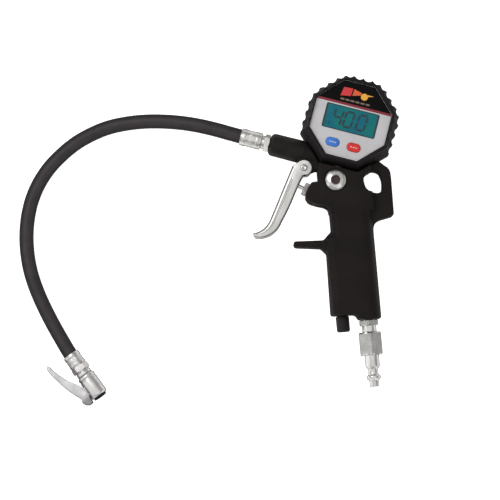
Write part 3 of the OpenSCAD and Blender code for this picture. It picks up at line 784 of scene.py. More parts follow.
@dataclass
class Shape:
    """A mesh being built, in millimetres in the frame of the part that it sits on."""

    points: list[Vector] = field(default_factory=list)
    faces: list[tuple[int, ...]] = field(default_factory=list)

    def loft(self, rings: Sequence[Sequence[Vector]], closed: bool = False) -> "Shape":
        """Skins a row of rings that have as many points each.

        Args:
            rings: The rings, in order.
            closed: Whether the last ring joins the first. Otherwise both ends are capped.

        Returns:
            This shape.
        """
        start, count, rows = len(self.points), len(rings[0]), len(rings)
        for ring in rings:
            self.points.extend(ring)
        for row in range(rows if closed else rows - 1):
            here, there = start + row * count, start + (row + 1) % rows * count
            for k in range(count):
                after = (k + 1) % count
                self.faces.append((here + k, here + after, there + after, there + k))
        if not closed:
            last = start + (rows - 1) * count
            self.faces.append(tuple(reversed(range(start, start + count))))
            self.faces.append(tuple(range(last, last + count)))
        return self

    def plate(self, outline: Sequence[Vector], low: float, high: float, ease: float = 0.0) -> "Shape":
        """Adds a flat plate with softened edges.

        Args:
            outline: Its outline, anticlockwise.
            low: The height of its underside.
            high: The height of its top.
            ease: How far its edges are rounded.

        Returns:
            This shape.
        """
        levels = [(0.0, low), (0.0, high)]
        if ease:
            turn = [math.radians(a) for a in (0, 30, 60, 90)]
            levels = [(ease * (1 - math.sin(a)), low + ease * (1 - math.cos(a))) for a in turn]
            levels += [(inward, low + high - height) for inward, height in reversed(levels)]
        rings = [[Vector((p.x, p.y, height)) for p in (inset(outline, inward) if inward else outline)]
                 for inward, height in levels]
        return self.loft(rings)

    def turned(self, profile: Sequence[Point], form: Optional[Form] = None, ease: float = 0.25,
               hollow: bool = False, sides: int = 96) -> "Shape":
        """Adds a turned part about +Z.

        Args:
            profile: Its radius and height at each corner.
            form: What cuts its radius, from the angle, the radius and the height.
            ease: How far its corners are rounded.
            hollow: Whether the profile comes back along a bore to where it starts.
            sides: How many points go round it.

        Returns:
            This shape.
        """
        rings = []
        for radius, height in eased(profile, ease, hollow):
            ring = []
            for k in range(sides):
                angle = 2 * math.pi * k / sides
                reach = form(angle, radius, height) if form else radius
                ring.append(Vector((reach * math.cos(angle), reach * math.sin(angle), height)))
            rings.append(ring)
        return self.loft(rings, hollow)

    def moved(self, place: Matrix) -> "Shape":
        """Moves all of the shape and returns it."""
        self.points = [place @ p for p in self.points]
        return self

    def join(self, other: "Shape") -> "Shape":
        """Takes in another shape.

        Args:
            other: The shape to take in.

        Returns:
            This shape.
        """
        start = len(self.points)
        self.points.extend(other.points)
        self.faces.extend(tuple(start + k for k in face) for face in other.faces)
        return self

    def mesh(self, name: str, place: Matrix) -> bpy.types.Mesh:
        """Makes the mesh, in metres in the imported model's frame.

        Args:
            name: The mesh's name.
            place: Where the part that it sits on is, in millimetres.

        Returns:
            The mesh, with its faces turned outwards.
        """
        made = bpy.data.meshes.new(name)
        made.from_pydata([MM * (place @ p) for p in self.points], [], self.faces)
        turner = bmesh.new()
        turner.from_mesh(made)
        bmesh.ops.remove_doubles(turner, verts=turner.verts, dist=SAME_POINT * MM)
        bmesh.ops.recalc_face_normals(turner, faces=turner.faces)
        turner.to_mesh(made)
        turner.free()
        return made


@dataclass(frozen=True)
class Piece:
    """How a mesh becomes a piece: its name, finish, body and slot, and the nodes that it stands for."""

    name: str
    finish: Finish
    body: Body
    slot: Slot
    replaces: tuple[str, ...] = ()
    crease: float = 32.0

    def make(self, mesh: bpy.types.Mesh) -> bpy.types.Object:
        """Puts the mesh in the scene as a piece.

        Args:
            mesh: The mesh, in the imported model's frame.

        Returns:
            The piece.
        """
        made = bpy.data.objects.new(self.name, mesh)
        bpy.context.scene.collection.objects.link(made)
        mesh.materials.clear()
        mesh.materials.append(self.finish.material())
        mesh.shade_smooth()
        mesh.set_sharp_from_angle(angle=math.radians(self.crease))
        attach(made, self.body.value)
        if self.replaces:
            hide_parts(*self.replaces)
        LOG.info("%s: %d faces on %s", self.name, len(mesh.polygons), self.body.value)
        return made

    def place(self, shape: Shape, place: Matrix) -> bpy.types.Object:
        """Makes the piece from a shape and returns it."""
        return self.make(shape.mesh(self.name, place))


def softened(node: str, voxel: float, passes: int) -> bpy.types.Mesh:
    """Copies a node's mesh with its sharp edges rounded, as a mould leaves them.

    Args:
        node: The node to copy, which stays as it is.
        voxel: The size of the new mesh's cells in millimetres.
        passes: How many times it is smoothed.

    Returns:
        The new mesh.
    """
    source = frame["nodes"][node].data.copy()
    welder = bmesh.new()
    welder.from_mesh(source)
    bmesh.ops.remove_doubles(welder, verts=welder.verts, dist=SAME_CAD_POINT * MM)
    welder.to_mesh(source)
    welder.free()
    holder = bpy.data.objects.new(node + "_blank", source)
    bpy.context.scene.collection.objects.link(holder)
    remesh = holder.modifiers.new("cells", "REMESH")
    remesh.mode, remesh.voxel_size = "VOXEL", voxel * MM
    smooth = holder.modifiers.new("soften", "SMOOTH")
    smooth.factor, smooth.iterations = 0.5, passes
    made = bpy.data.meshes.new_from_object(holder.evaluated_get(bpy.context.evaluated_depsgraph_get()))
    bpy.data.objects.remove(holder)
    return made


# ---- Places ----


def turned_about_z(degrees: float) -> Matrix:
    """Returns a turn about +Z."""
    return Matrix.Rotation(math.radians(degrees), 4, "Z")


def joint_at(name: str) -> Vector:
    """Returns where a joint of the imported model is, in millimetres."""
    return Vector(next(j for j in frame["joints"] if j["name"] == name)["pos_m"]) / MM


@dataclass(frozen=True)
class Places:
    """The frames of the tool's parts, in millimetres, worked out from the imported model.

    Angles are in degrees: the head's rake and the headings of the valve, the trigger and the chuck.
    """

    head_rake: float = 19.5
    arm_drop: float = 31.7
    valve_heading: float = 150.0
    trigger_heading: float = 240.0
    chuck_heading: float = -59.0
    chuck_lift: float = 2.5
    clip_pivot_along: float = 33.4
    clip_pivot_across: float = -9.4
    seal_back: float = 4.05

    @property
    def parting(self) -> float:
        """The height of the grip's parting plane."""
        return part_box("grip_front_shell")[0].z / MM

    def gauge(self) -> Matrix:
        """Finds the gauge's frame, on the table under the middle of its case.

        Returns:
            The frame.
        """
        low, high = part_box("gauge_case")
        middle = (low + high) / 2 / MM
        return Matrix.Translation((middle.x, middle.y, 0)) @ turned_about_z(-self.head_rake)

    def arm(self) -> Matrix:
        """The outlet arm's frame, with +Z out along the arm."""
        foot = Matrix.Translation((0, -self.arm_drop, self.parting))
        return self.gauge() @ foot @ turned_about_z(180) @ Matrix.Rotation(math.pi / 2, 4, "Y")

    def grip(self, x: float, y: float) -> Matrix:
        """Finds a frame on the parting plane with +Z down the grip.

        Args:
            x: Its place across the grip.
            y: Its place along the grip.

        Returns:
            The frame.
        """
        return Matrix.Translation((x, y, self.parting)) @ Matrix.Rotation(math.pi / 2, 4, "X")

    def valve(self) -> Matrix:
        """Finds the valve's frame, at the end face of its boss with +Z out along the stem.

        Returns:
            The frame.
        """
        low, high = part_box("gland_seal")
        heading = math.radians(self.valve_heading)
        out = Vector((math.cos(heading), math.sin(heading), 0))
        at = (low + high) / 2 / MM + out * self.seal_back
        turn = turned_about_z(self.valve_heading) @ Matrix.Rotation(math.pi / 2, 4, "Y")
        return Matrix.Translation(at) @ turn

    def trigger(self) -> Matrix:
        """The trigger's frame: its pivot, +X down the lever, +Y towards the grip."""
        return Matrix.Translation(joint_at("trigger_pull")) @ turned_about_z(self.trigger_heading)

    def chuck(self) -> Matrix:
        """Finds the chuck's frame, near the hose end of its ferrule with +X out of its mouth.

        Returns:
            The frame.
        """
        turn = turned_about_z(self.chuck_heading) @ Matrix.Rotation(math.radians(-self.chuck_lift), 4, "Y")
        pivot = turn @ Vector((self.clip_pivot_along, self.clip_pivot_across, 0))
        return Matrix.Translation(joint_at("clip_open") - pivot) @ turn

    def along_chuck(self) -> Matrix:
        """The chuck's frame turned so that +Z runs out of its mouth."""
        return self.chuck() @ Matrix.Rotation(math.pi / 2, 4, "Y")


PLACES = Places()


# ---- Studio ----


@dataclass
class Studio:
    """A white table under large soft lights, and the camera above it."""

    aim: tuple[float, float, float] = (-66.8, -8.4, 14.0)
    distance: float = 1500.0
    tilt: float = 5.0
    roll: float = 5.0
    lens: float = 135.0
    sensor: float = 36.0
    floor_size: float = 6.0
    floor_glow: float = 0.95
    floor_gap: float = 0.2
    room_glow: float = 0.9
    room_levels: tuple[tuple[float, float], ...] = ((0.0, 0.8), (0.25, 0.5), (0.62, 0.36), (0.93, 0.95))
    lamps_face: tuple[float, float, float] = (-0.06, 0, 0)

    def build(self) -> None:
        """Builds the camera, the table, the surround and the lamps."""
        self.camera()
        self.floor()
        self.surround()
        self.lamp("key_lamp", (-0.75, 0.55, 1.15), (0.9, 0.9), 7.0)
        self.lamp("side_lamp", (-1.1, -0.35, 0.55), (0.5, 1.0), 1.2)
        self.lamp("fill_lamp", (0.55, -0.9, 1.2), (0.8, 0.6), 1.2)
        bpy.context.scene.view_settings.view_transform = "Standard"
        LOG.info("studio ready")

    def camera(self) -> None:
        """Aims a long lens nearly straight down at the tool."""
        lean, turn = math.radians(self.tilt), math.radians(self.roll)
        right = Vector((math.cos(turn), -math.sin(turn), 0))
        ahead = Vector((math.sin(turn), math.cos(turn), 0))
        back = math.cos(lean) * Vector((0, 0, 1)) - math.sin(lean) * ahead
        up = back.cross(right)
        data = bpy.data.cameras.new("camera")
        data.lens, data.sensor_width, data.clip_end = self.lens, self.sensor, 20.0
        camera = bpy.data.objects.new("camera", data)
        bpy.context.scene.collection.objects.link(camera)
        turned = Matrix((right, up, back)).transposed().to_4x4()
        camera.matrix_world = Matrix.Translation(MM * (Vector(self.aim) + self.distance * back)) @ turned
        bpy.context.scene.camera = camera

    def floor(self) -> None:
        """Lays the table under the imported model's lowest point."""
        half, low = self.floor_size / 2, CAD_BOX[0].z - self.floor_gap * MM
        made = bpy.data.meshes.new("floor")
        corners = [(-half, -half, low), (half, -half, low), (half, half, low), (-half, half, low)]
        made.from_pydata(corners, [], [(0, 1, 2, 3)])
        floor = bpy.data.objects.new("floor", made)
        bpy.context.scene.collection.objects.link(floor)
        white = bpy.data.materials.new("table_white")
        recipe = Recipe(white)
        tone = recipe.blend(recipe.noise(300), (0.9, 0.9, 0.9), (0.92, 0.92, 0.92))
        recipe.surface(tone, 0.9, Emission_Strength=self.floor_glow)
        recipe.shader.inputs["Emission Color"].default_value = (1, 1, 1, 1)
        made.materials.append(white)

    def surround(self) -> None:
        """Lights the room from all round: pale overhead and at the horizon, with a greyer ring between."""
        world = bpy.data.worlds.new("room")
        bpy.context.scene.world = world
        recipe = Recipe(world)
        direction = recipe.node("ShaderNodeTexCoord", out="Generated")
        height = recipe.node("ShaderNodeSeparateXYZ", {}, {0: direction}, "Z")
        stops = [(at, (level, level, level)) for at, level in self.room_levels]
        light = recipe.node("ShaderNodeValToRGB", {"stops": stops}, {"Fac": height}, "Color")
        recipe.feed(recipe.shader.inputs["Color"], light)
        recipe.feed(recipe.shader.inputs["Strength"], self.room_glow)

    def lamp(self, name: str, at: tuple[float, float, float], size: tuple[float, float],
             power: float) -> None:
        """Hangs one soft lamp that faces the tool.

        Args:
            name: The lamp's name.
            at: Where it hangs, in metres.
            size: Its width and height in metres.
            power: Its power in watts.
        """
        data = bpy.data.lights.new(name, "AREA")
        data.shape, data.size, data.size_y, data.energy = "RECTANGLE", size[0], size[1], power
        lamp = bpy.data.objects.new(name, data)
        lamp.location = at
        lamp.rotation_euler = (Vector(at) - Vector(self.lamps_face)).to_track_quat("Z", "Y").to_euler()
        bpy.context.scene.collection.objects.link(lamp)


# ---- Hose ----


@dataclass
class Hose:
    """The rubber hose, one smooth curve from the gun's ferrule to the chuck's."""

    diameter: float = 11.6
    start: tuple[float, float, float] = (-51.0, 78.1, 14.0)
    route: tuple[tuple[float, float, float], ...] = (
        (-59, 81, 14), (-66.6, 83.7, 14), (-75, 86.8, 14), (-87, 91.4, 13.5), (-101, 96, 12.6),
        (-115, 99.5, 11.3), (-130, 102, 9.9), (-144.5, 103.2, 8.6), (-159, 102.9, 7.4), (-173, 101, 6.5),
        (-187, 96.6, 6), (-200, 90.4, 5.9), (-212, 82, 5.9), (-222.6, 72.4, 5.9), (-231.8, 60.5, 5.9),
        (-238.5, 47.4, 5.9), (-242.8, 33.4, 5.9), (-245, 19, 5.9), (-245.3, 4.6, 5.9), (-243.8, -9.8, 5.9),
        (-240.4, -24, 5.9), (-235.5, -38.4, 5.9), (-229.3, -53.4, 6.1), (-222.6, -67.8, 6.5),
        (-217.6, -77.8, 7.2), (-211.73, -87.57, 7.7))
    steps: int = 10
    sides: int = 40

    def line(self) -> list[Vector]:
        """Joins the route's points with a smooth curve.

        Returns:
            The hose's centre line, as many close points.
        """
        knots = [Vector(self.start), *(Vector(p) for p in self.route)]
        line, last = [], len(knots) - 1
        for k in range(last):
            a, b, c, d = knots[max(k - 1, 0)], knots[k], knots[k + 1], knots[min(k + 2, last)]
            for step in range(self.steps):
                t = step / self.steps
                line.append(0.5 * (2 * b + (c - a) * t + (2 * a - 5 * b + 4 * c - d) * t * t
                                   + (3 * b - a - 3 * c + d) * t ** 3))
        return [*line, knots[last]]

    def build(self, carried: Sequence[bpy.types.Object]) -> bpy.types.Object:
        """Args:
            carried: The pieces at its two ends. It is not used.

        Returns:
            The hose.
        """
        line = self.line()
        rings, lay, way, radius = [], [], 0.0, self.diameter / 2
        turns = [2 * math.pi * s / self.sides for s in range(self.sides)]
        for k, here in enumerate(line):
            ahead = (line[min(k + 1, len(line) - 1)] - line[max(k - 1, 0)]).normalized()
            side = ahead.cross(Vector((0, 0, 1))).normalized()
            over = side.cross(ahead)
            way += (here - line[k - 1]).length if k else 0.0
            rings.append([here + radius * (math.cos(a) * side + math.sin(a) * over) for a in turns])
            lay.append(way)
        shape = Shape().loft(rings)
        piece = Piece("rubber_hose", HOSE_BLACK, Body.GUN, Slot.HOSE_RUBBER, ("hose",), 60)
        hose = piece.place(shape, Matrix.Identity(4))
        self.mark_lay(hose.data, lay)
        MM * lay[-1]
        [list(MM * p) for p in line]
        LOG.info("hose is %.0f mm long", lay[-1])
        return hose

    def mark_lay(self, mesh: bpy.types.Mesh, lay: Sequence[float]) -> None:
        """Writes how far along and around the hose each face corner is, for its woven finish.

        Args:
            mesh: The hose's mesh.
            lay: How far along the hose each ring is, in millimetres.
        """
        marks = mesh.attributes.new(HOSE_LAY, "FLOAT_VECTOR", "CORNER")
        for face in mesh.polygons:
            columns = [mesh.loops[c].vertex_index % self.sides for c in face.loop_indices]
            wraps = max(columns) - min(columns) > self.sides / 2
            for corner, column in zip(face.loop_indices, columns):
                row = min(mesh.loops[corner].vertex_index // self.sides, len(lay) - 1)
                turn = column + (self.sides if wraps and column < self.sides / 2 else 0)
                marks.data[corner].vector = (MM * lay[row], 2 * math.pi * turn / self.sides, 0)


# ---- Grip ----


@dataclass
class Grip:
    """The two moulded shells, the arm's rubber sleeve, the cross plug, and what leaves the grip's foot."""

    inlet_x: float = 22.4
    stub_x: float = 1.8
    cell: float = 0.6
    softening: int = 12
    arm_radius: float = 9.2
    arm_joint: float = 41.0
    arm_end: float = 58.4
    arm_bore: float = 5.3
    nose_radius: float = 4.0
    skirt_from: float = 30.0
    skirt_thick: float = 0.12
    plug_at: tuple[float, float] = (0.3, -48.6)
    dome: float = 3.0
    socket_flat: float = 2.9
    stub_from: float = -62.0
    inlet_from: float = -60.4
    plug_from: float = -82.2

    def build(self) -> None:
        """Builds the grip's pieces."""
        self.shells()
        self.sleeve()
        self.cross_plug()
        self.exhaust_stub()
        self.inlet_fitting()
        self.plug()

    def shells(self) -> None:
        """Builds the two shells, whose edges are soft where they meet."""
        for node in ("grip_front_shell", "grip_rear_shell"):
            name = node.replace("grip", "moulded")
            piece = Piece(name, SHELL_BLACK, Body.GUN, Slot.BODY_PLASTIC, (node,), 50)
            piece.make(softened(node, self.cell, self.softening))

    def sleeve(self) -> None:
        """Builds the sleeve on the arm, with a thin skirt over the arm's root and a round nose."""
        root, radius, skirt = self.arm_joint, self.arm_radius, self.arm_radius + self.skirt_thick
        round_from = self.arm_end - self.nose_radius
        profile = [(self.arm_bore, root + 0.1), (radius, root + 0.1), (radius, self.skirt_from),
                   (skirt, self.skirt_from), (skirt, root - 2), (radius, root + 3), (radius, round_from)]
        profile += [(radius - self.nose_radius + p.x, round_from + p.y)
                    for p in arc((0, 0), self.nose_radius, 15, 90, 5)]
        profile += [(self.arm_bore, self.arm_end)]
        shape = Shape().turned(profile, ease=0.04, hollow=True)
        piece = Piece("arm_rubber", SLEEVE_BLACK, Body.GUN, Slot.SLEEVE_RUBBER, ("arm_sleeve",))
        piece.place(shape, PLACES.arm())

    def cross_plug(self) -> None:
        """Builds the bright domed plug below the gauge, and a dark lining in its hexagon socket, painted
        shade.
        """
        low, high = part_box("block_plug")
        rim, top, seat, socket = 8.3, high.z / MM, low.z / MM, 3.3
        rise = [math.radians(15 * k) for k in range(5)]
        dome = [(rim * math.cos(a), top - self.dome + self.dome * math.sin(a)) for a in rise]
        profile = [(4.4, seat), (4.4, top - 3.8), (rim, top - 3.8), *dome, (socket + 0.9, top - 0.05),
                   (socket + 0.3, top - 0.4), (socket + 0.3, top - 2.0), (0.3, top - 2.0)]
        place = PLACES.gauge() @ Matrix.Translation((*self.plug_at, 0))
        piece = Piece("cross_plug", BRIGHT_NICKEL, Body.GUN, Slot.PLATED_STEEL, ("block_plug",))
        piece.place(Shape().turned(profile, ease=0.3), place)
        flat, floor, lining = self.socket_flat, top - 1.6, socket + 0.25
        wall = [(0.2, top - 1.9), (lining, top - 1.9), (lining, top - 0.45), (flat, top - 0.5), (flat, floor),
                (0.2, floor)]

        def hexagon_socket(angle: float, reach: float, _height: float) -> float:
            """Returns the radius, cut to a hexagon inside the socket."""
            return min(reach, polygon_radius(angle, flat, 6)) if reach < flat + 0.5 else reach

        # The socket's dark lining is painted shade: it stands for the shade deep in the socket.
        recess = Shape().turned(wall, hexagon_socket, ease=0.05)
        Piece("plug_socket_shade", BLACKED_STEEL_AND_SOCKET_SHADE, Body.GUN, Slot.DARK_STEEL).place(recess, place)

    def exhaust_stub(self) -> None:
        """Builds the silencer's stub, with fine slots round its outlet."""
        profile = [(2.2, 0), (4.3, 0), (4.3, 6), (5.3, 6), (5.3, 17.4), (4.4, 18.4), (2.2, 18.4)]
        slot_count, slot_depth = 20, 0.35

        def slots(angle: float, reach: float, height: float) -> float:
            """Returns the radius, drawn in at shallow slots round the stub's wide part."""
            slotted = reach > 5 and 8 < height < 16
            return reach - (slot_depth if slotted and math.cos(slot_count * angle) > 0.4 else 0)

        shape = Shape().turned(profile, slots, ease=0.6, hollow=True, sides=160)
        piece = Piece("exhaust_stub", STUB_BLACK, Body.GUN, Slot.BODY_PLASTIC, ("exhaust_silencer",))
        piece.place(shape, PLACES.grip(self.stub_x, self.stub_from))

    def inlet_fitting(self) -> None:
        """Builds the inlet's nipple with its hexagon."""
        across, hex_from, hex_to = 14.4, 12.0, 16.6
        profile = [(3, 0), (5.5, 0), (5.5, hex_from), (7.0, hex_from), (8.4, hex_from + 0.7),
                   (8.4, hex_to - 0.7), (7.0, hex_to), (5.7, hex_to), (5.7, 29.6), (3, 29.6)]
        shape = Shape().turned(profile, hexagon(across), ease=0.2, hollow=True)
        piece = Piece("inlet_fitting", GRIP_TURNED, Body.GUN, Slot.PLATED_STEEL, ("inlet_nipple",), 25)
        piece.place(shape, PLACES.grip(self.inlet_x, self.inlet_from))

    def plug(self) -> None:
        """Builds the air plug: a large hexagon, a shank, the coupler's groove and the nose."""
        across, collar = 17.4, 18.4
        outside = [(8.3, 0), (10.2, 1.2), (10.2, collar - 1.2), (8.3, collar), (5.8, collar), (5.8, 27.6),
                   (4.1, 29.2), (4.1, 33.6), (5.75, 35), (5.75, 37), (3.95, 38.6), (3.95, 43.1), (3.35, 43.7)]
        profile = [(5.8, 0), *outside, (2.7, 43.7), (2.7, 13), (5.8, 12)]
        shape = Shape().turned(profile, hexagon(across), ease=0.25, hollow=True)
        piece = Piece("coupler_plug", GRIP_TURNED, Body.GUN, Slot.PLATED_STEEL, ("air_plug",), 25)
        piece.place(shape, PLACES.grip(self.inlet_x, self.plug_from))


# ---- Trigger and valve ----


@dataclass
class Channel:
    """A lever of U section: a web along its outer edge and two flanges that reach to its inner edge.

    Each station gives a point on the outer edge and one on the inner edge. The corner, the lip and the
    groove are the radii of the outer and inner corners and the depth of the groove along each flange.
    """

    stations: Sequence[tuple[Point, Point]]
    width: float
    wall: float
    corner: float
    lip: float
    groove: float = 0.0

    def section(self, reach: float) -> list[tuple[float, float]]:
        """Draws the section's outline at one station.

        Args:
            reach: The distance from the outer edge to the inner edge there.

        Returns:
            How far in from the outer edge, and how high, each point is.
        """
        half, wall = self.width / 2, self.wall
        corner, tip = min(self.corner, reach * 0.45), min(0.45, wall * 0.4, reach * 0.2)
        lip = min(self.lip, reach * 0.25)
        flat = reach - lip - corner
        side = [(reach - lip + p.x, half - lip + p.y) for p in arc((0, 0), lip, 0, 90, 4)]
        for share, depth in ((0.32, 0), (0.27, self.groove), (0.13, self.groove), (0.08, 0)):
            side.append((corner + flat * share, half - depth))
        side += [(corner - p.x, half - corner + p.y) for p in arc((0, 0), corner, 90, 0, 6)]
        inner = min(wall, reach * 0.7)
        bay = [(inner, half - wall - 1.2), (min(inner + 0.4, reach), half - wall - 0.4),
               (min(inner + 1.2, reach), half - wall), (reach - tip, half - wall), (reach, half - wall + tip)]
        lower = [(u, -v) for u, v in reversed(side)]
        return side + lower + [(u, -v) for u, v in reversed(bay)] + bay

    def shape(self) -> Shape:
        """Skins the sections of all stations.

        Returns:
            The lever's shape, with +Z across it.
        """
        rings = []
        for outer, inner in self.stations:
            edge, across = Vector(outer), Vector(inner) - Vector(outer)
            ring = []
            for inward, height in self.section(across.length):
                at = edge + across.normalized() * inward
                ring.append(Vector((at.x, at.y, height)))
            rings.append(ring)
        return Shape().loft(rings)


@dataclass
class Trigger:
    """The cast trigger with its pivot pin, and the valve's knurled gland nut."""

    width: float = 18.0
    wall: float = 1.8
    pin_radius: float = 2.0
    cheek_radius: float = 6.3

    def build(self) -> None:
        """Builds the trigger's pieces."""
        self.lever()
        self.pin()
        self.gland_nut()

    def lever(self) -> None:
        """Builds the lever: a channel that curls up at its toe, and two round cheeks at the pivot."""
        stations = [((2.3, -9.0), (3.0, 3.6)), ((3.6, -9.0), (4.4, 2.6)), ((5, -8.95), (6.6, 1.95)),
                    ((10, -8.75), (11, 1.9)), ((18, -8.4), (18.5, 2.0)), ((26, -8.05), (26, 2.35)),
                    ((34, -7.7), (33.5, 2.5)), ((42, -7.3), (41, 2.3)), ((47, -7.1), (45.5, 2.0))]
        stations += zip(arc((50, -25), 18, 90, 35, 14), arc((48.7, -16.8), 18.8, 90, 16, 14))
        shape = Channel(stations, self.width, self.wall, 2.6, 1.7, groove=0.35).shape()
        cheek = arc((0, 0), self.cheek_radius, 54, 250, 22)
        cheek += [Vector(p) for p in ((-0.6, -6.9), (1.7, -8.9), (2.6, -8.2), (4, -6), (12, -5.6), (13.5, -3),
                                      (12, 0), (7.5, 0.2), (5.2, 2.4))]
        half = self.width / 2
        for low, high in ((half - self.wall - 0.05, half - 0.01), (0.01 - half, self.wall + 0.05 - half)):
            shape.plate(cheek, low, high, 0.5)
        pad = eased([(11.4, -7), (17.4, -7), (17.4, -4.3), (11.4, -4.3)], 0.6, True)
        shape.plate(pad, -half + self.wall - 0.1, half - self.wall + 0.1)
        piece = Piece("cast_lever", LEVER_ALLOY, Body.TRIGGER, Slot.CAST_ALLOY, ("trigger_lever",), 40)
        piece.place(shape, PLACES.trigger())

    def pin(self) -> None:
        """Builds the pivot pin with its domed and dimpled head."""
        low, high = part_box("pivot_pin")
        bottom, top = low.z / MM, high.z / MM
        head = top - 1.3
        profile = [(1.4, bottom), (self.pin_radius, bottom + 0.5), (self.pin_radius, head), (2.9, head),
                   (2.8, head + 0.5), (2.3, head + 1.05), (1.5, head + 1.3), (1.1, head + 1.0),
                   (0.2, head + 0.8)]
        place = Matrix.Translation((*joint_at("trigger_pull").xy, 0))
        shape = Shape().turned(profile, ease=0.3)
        Piece("lever_pin", PIN_STEEL, Body.GUN, Slot.DARK_STEEL, ("pivot_pin",)).place(shape, place)

    def gland_nut(self) -> None:
        """Builds the gland nut, knurled round its rim."""
        teeth, depth, rim = 28, 0.4, 5.4
        bore, back, end = 1.65, -5, 3.95
        profile = [(bore, back), (4.4, back), (4.4, 0.15), (rim, 0.15), (rim, 3.2), (rim - 0.8, end),
                   (bore, end)]

        def knurl(angle: float, reach: float, _height: float) -> float:
            """Returns the radius, toothed where it is the rim."""
            return reach - depth * abs(math.sin(teeth * angle / 2)) if reach > 5 else reach

        shape = Shape().turned(profile, knurl, ease=0.3, hollow=True, sides=224)
        piece = Piece("knurled_gland", GLAND_STEEL, Body.GUN, Slot.DARK_STEEL, ("gland_nut",), 40)
        piece.place(shape, PLACES.valve())


# ---- Gauge ----


@dataclass
class Gauge:
    """The toothed rubber boot, the printed face, the display and the two keys.

    The boot is an octagon with round hollows cut into its upper sides, four to a side. Their pitch is in
    degrees. From tooth_depth inside the flat, a hollow's middle lies hollow_middle further out, or hollow_end
    where it is next to a corner.
    """

    boot_flat: float = 38.5
    boot_corner: float = 41.0
    plain_flat: float = 37.4
    taper: float = 0.9
    waist: float = 15.0
    tooth_radius: float = 4.8
    tooth_pitch: float = 11.25
    hollow_middle: float = 5.05
    hollow_end: float = 6.35
    tooth_shift: tuple[float, float] = (1.6, 0.6)
    well_radius: float = 27.8
    case_flat: float = 32.1
    window_flat: float = 30.6
    lens_length: float = 43.3
    lens_width: float = 19.9
    tooth_depth: float = 2.9
    tooth_turn: float = 1.0
    key_length: float = 11.2
    key_width: float = 7.0
    label_from: float = 12.9
    film: float = 0.07

    def __post_init__(self) -> None:
        """Takes the heights of the boot, its lip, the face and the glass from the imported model."""
        self.boot_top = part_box("gauge_boot")[1].z / MM
        self.lip = self.boot_top - 2.3
        self.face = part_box("face_panel")[1].z / MM
        self.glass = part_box("display_window")[1].z / MM - 0.12

    def build(self) -> None:
        """Builds the gauge's pieces."""
        self.boot()
        self.label()
        self.display()
        self.key("blue", Body.BLUE_KEY, Slot.BLUE_KEY, KEY_BLUE)
        self.key("red", Body.RED_KEY, Slot.RED_KEY, KEY_RED)

    def toothed(self, angle: float) -> float:
        """Finds the radius of the boot's outline.

        Args:
            angle: The direction, in radians.

        Returns:
            The radius in that direction, with the hollows between the teeth of the five upper sides.
        """
        radius = min(polygon_radius(angle, self.boot_flat, 8), self.boot_corner)
        for side in (225, 270, 315):
            off = angle - math.radians(side)
            if math.cos(off) > 0.5:
                radius = min(radius, self.plain_flat / math.cos(off))
        for side in range(0, 181, 45):
            for step in (-1.5, -0.5, 0.5, 1.5):
                middle = self.boot_flat - self.tooth_depth
                middle += self.hollow_end if abs(step) > 1 else self.hollow_middle
                off = angle - math.radians(side + self.tooth_pitch * step)
                aside = middle * math.sin(off)
                if math.cos(off) > 0.8 and abs(aside) < self.tooth_radius:
                    hollow = math.sqrt(self.tooth_radius ** 2 - aside ** 2)
                    radius = min(radius, middle * math.cos(off) - hollow)
        return radius

    def boot(self) -> None:
        """Builds the boot as one skin: up its toothed side, over its rim, down its window and back inside."""
        count, passes = 960, 3
        angles = [2 * math.pi * k / count for k in range(count)]
        upper = [min(1.0, max(0.0, 0.5 + 1.2 * math.sin(a))) for a in angles]
        teeth = [self.toothed(a + math.radians(self.tooth_turn) * share) for a, share in zip(angles, upper)]
        for _ in range(passes):
            teeth = [(teeth[k - 1] + 2 * teeth[k] + teeth[(k + 1) % count]) / 4 for k in range(count)]
        smooth = [min(polygon_radius(a, self.boot_flat - 1.3, 8), self.boot_corner - 1.6) for a in angles]
        case = [polygon_radius(a, self.case_flat, 8) for a in angles]
        window = [polygon_radius(a, self.window_flat, 8) for a in angles]
        well = [self.well_radius] * count
        shift = PLACES.gauge().to_3x3().inverted() @ Vector((*self.tooth_shift, 0))
        top, slope = self.boot_top, (1 - self.taper) / (self.boot_top - self.waist)

        def ring(radii: Sequence[float], height: float, inward: float = 0.0) -> list[Vector]:
            """Returns one ring inside the boot.

            Args:
                radii: Its radius in each direction.
                height: Its height.
                inward: How far it is drawn in.

            Returns:
                Its points.
            """
            return [Vector(((r - inward) * math.cos(a), (r - inward) * math.sin(a), height))
                    for r, a in zip(radii, angles)]

        def skin(smoothed: float, height: float, inward: float = 0.0) -> list[Vector]:
            """Returns one ring of the outer skin, whose toothed sides sit a little to one side.

            Args:
                smoothed: How far the teeth are eased to the smooth octagon, from 0 to 1.
                height: Its height.
                inward: How far it is drawn in.

            Returns:
                Its points.
            """
            size = 1 - slope * max(0.0, height - self.waist)
            radii = [size * (t * (1 - smoothed) + s * smoothed) for t, s in zip(teeth, smooth)]
            return [p + shift * share for p, share in zip(ring(radii, height, inward), upper)]

        outside = ((1.0, 0, 0.9), (0.5, 0.2, 0.2), (0, 1.0, 0), (0, self.waist - 0.4, 0),
                   (0, self.waist + 0.4, 0), (0, top - 3.2, 0), (0.04, top - 1.5, 0.05),
                   (0.12, top - 0.7, 0.3), (0.3, top - 0.2, 0.75), (0.55, top, 1.3))
        rings = [ring(well, 0), *(skin(*level) for level in outside)]
        rings += [ring(window, top, -0.9), ring(window, top - 0.25, -0.3), ring(window, top - 0.9),
                  ring(window, self.lip + 0.1), ring(case, self.lip + 0.1), ring(case, 2.5), ring(well, 2.5)]
        piece = Piece("toothed_boot", BOOT_BLACK, Body.GUN, Slot.BOOT_RUBBER, ("gauge_boot",), 38)
        piece.place(Shape().loft(rings, closed=True), PLACES.gauge())

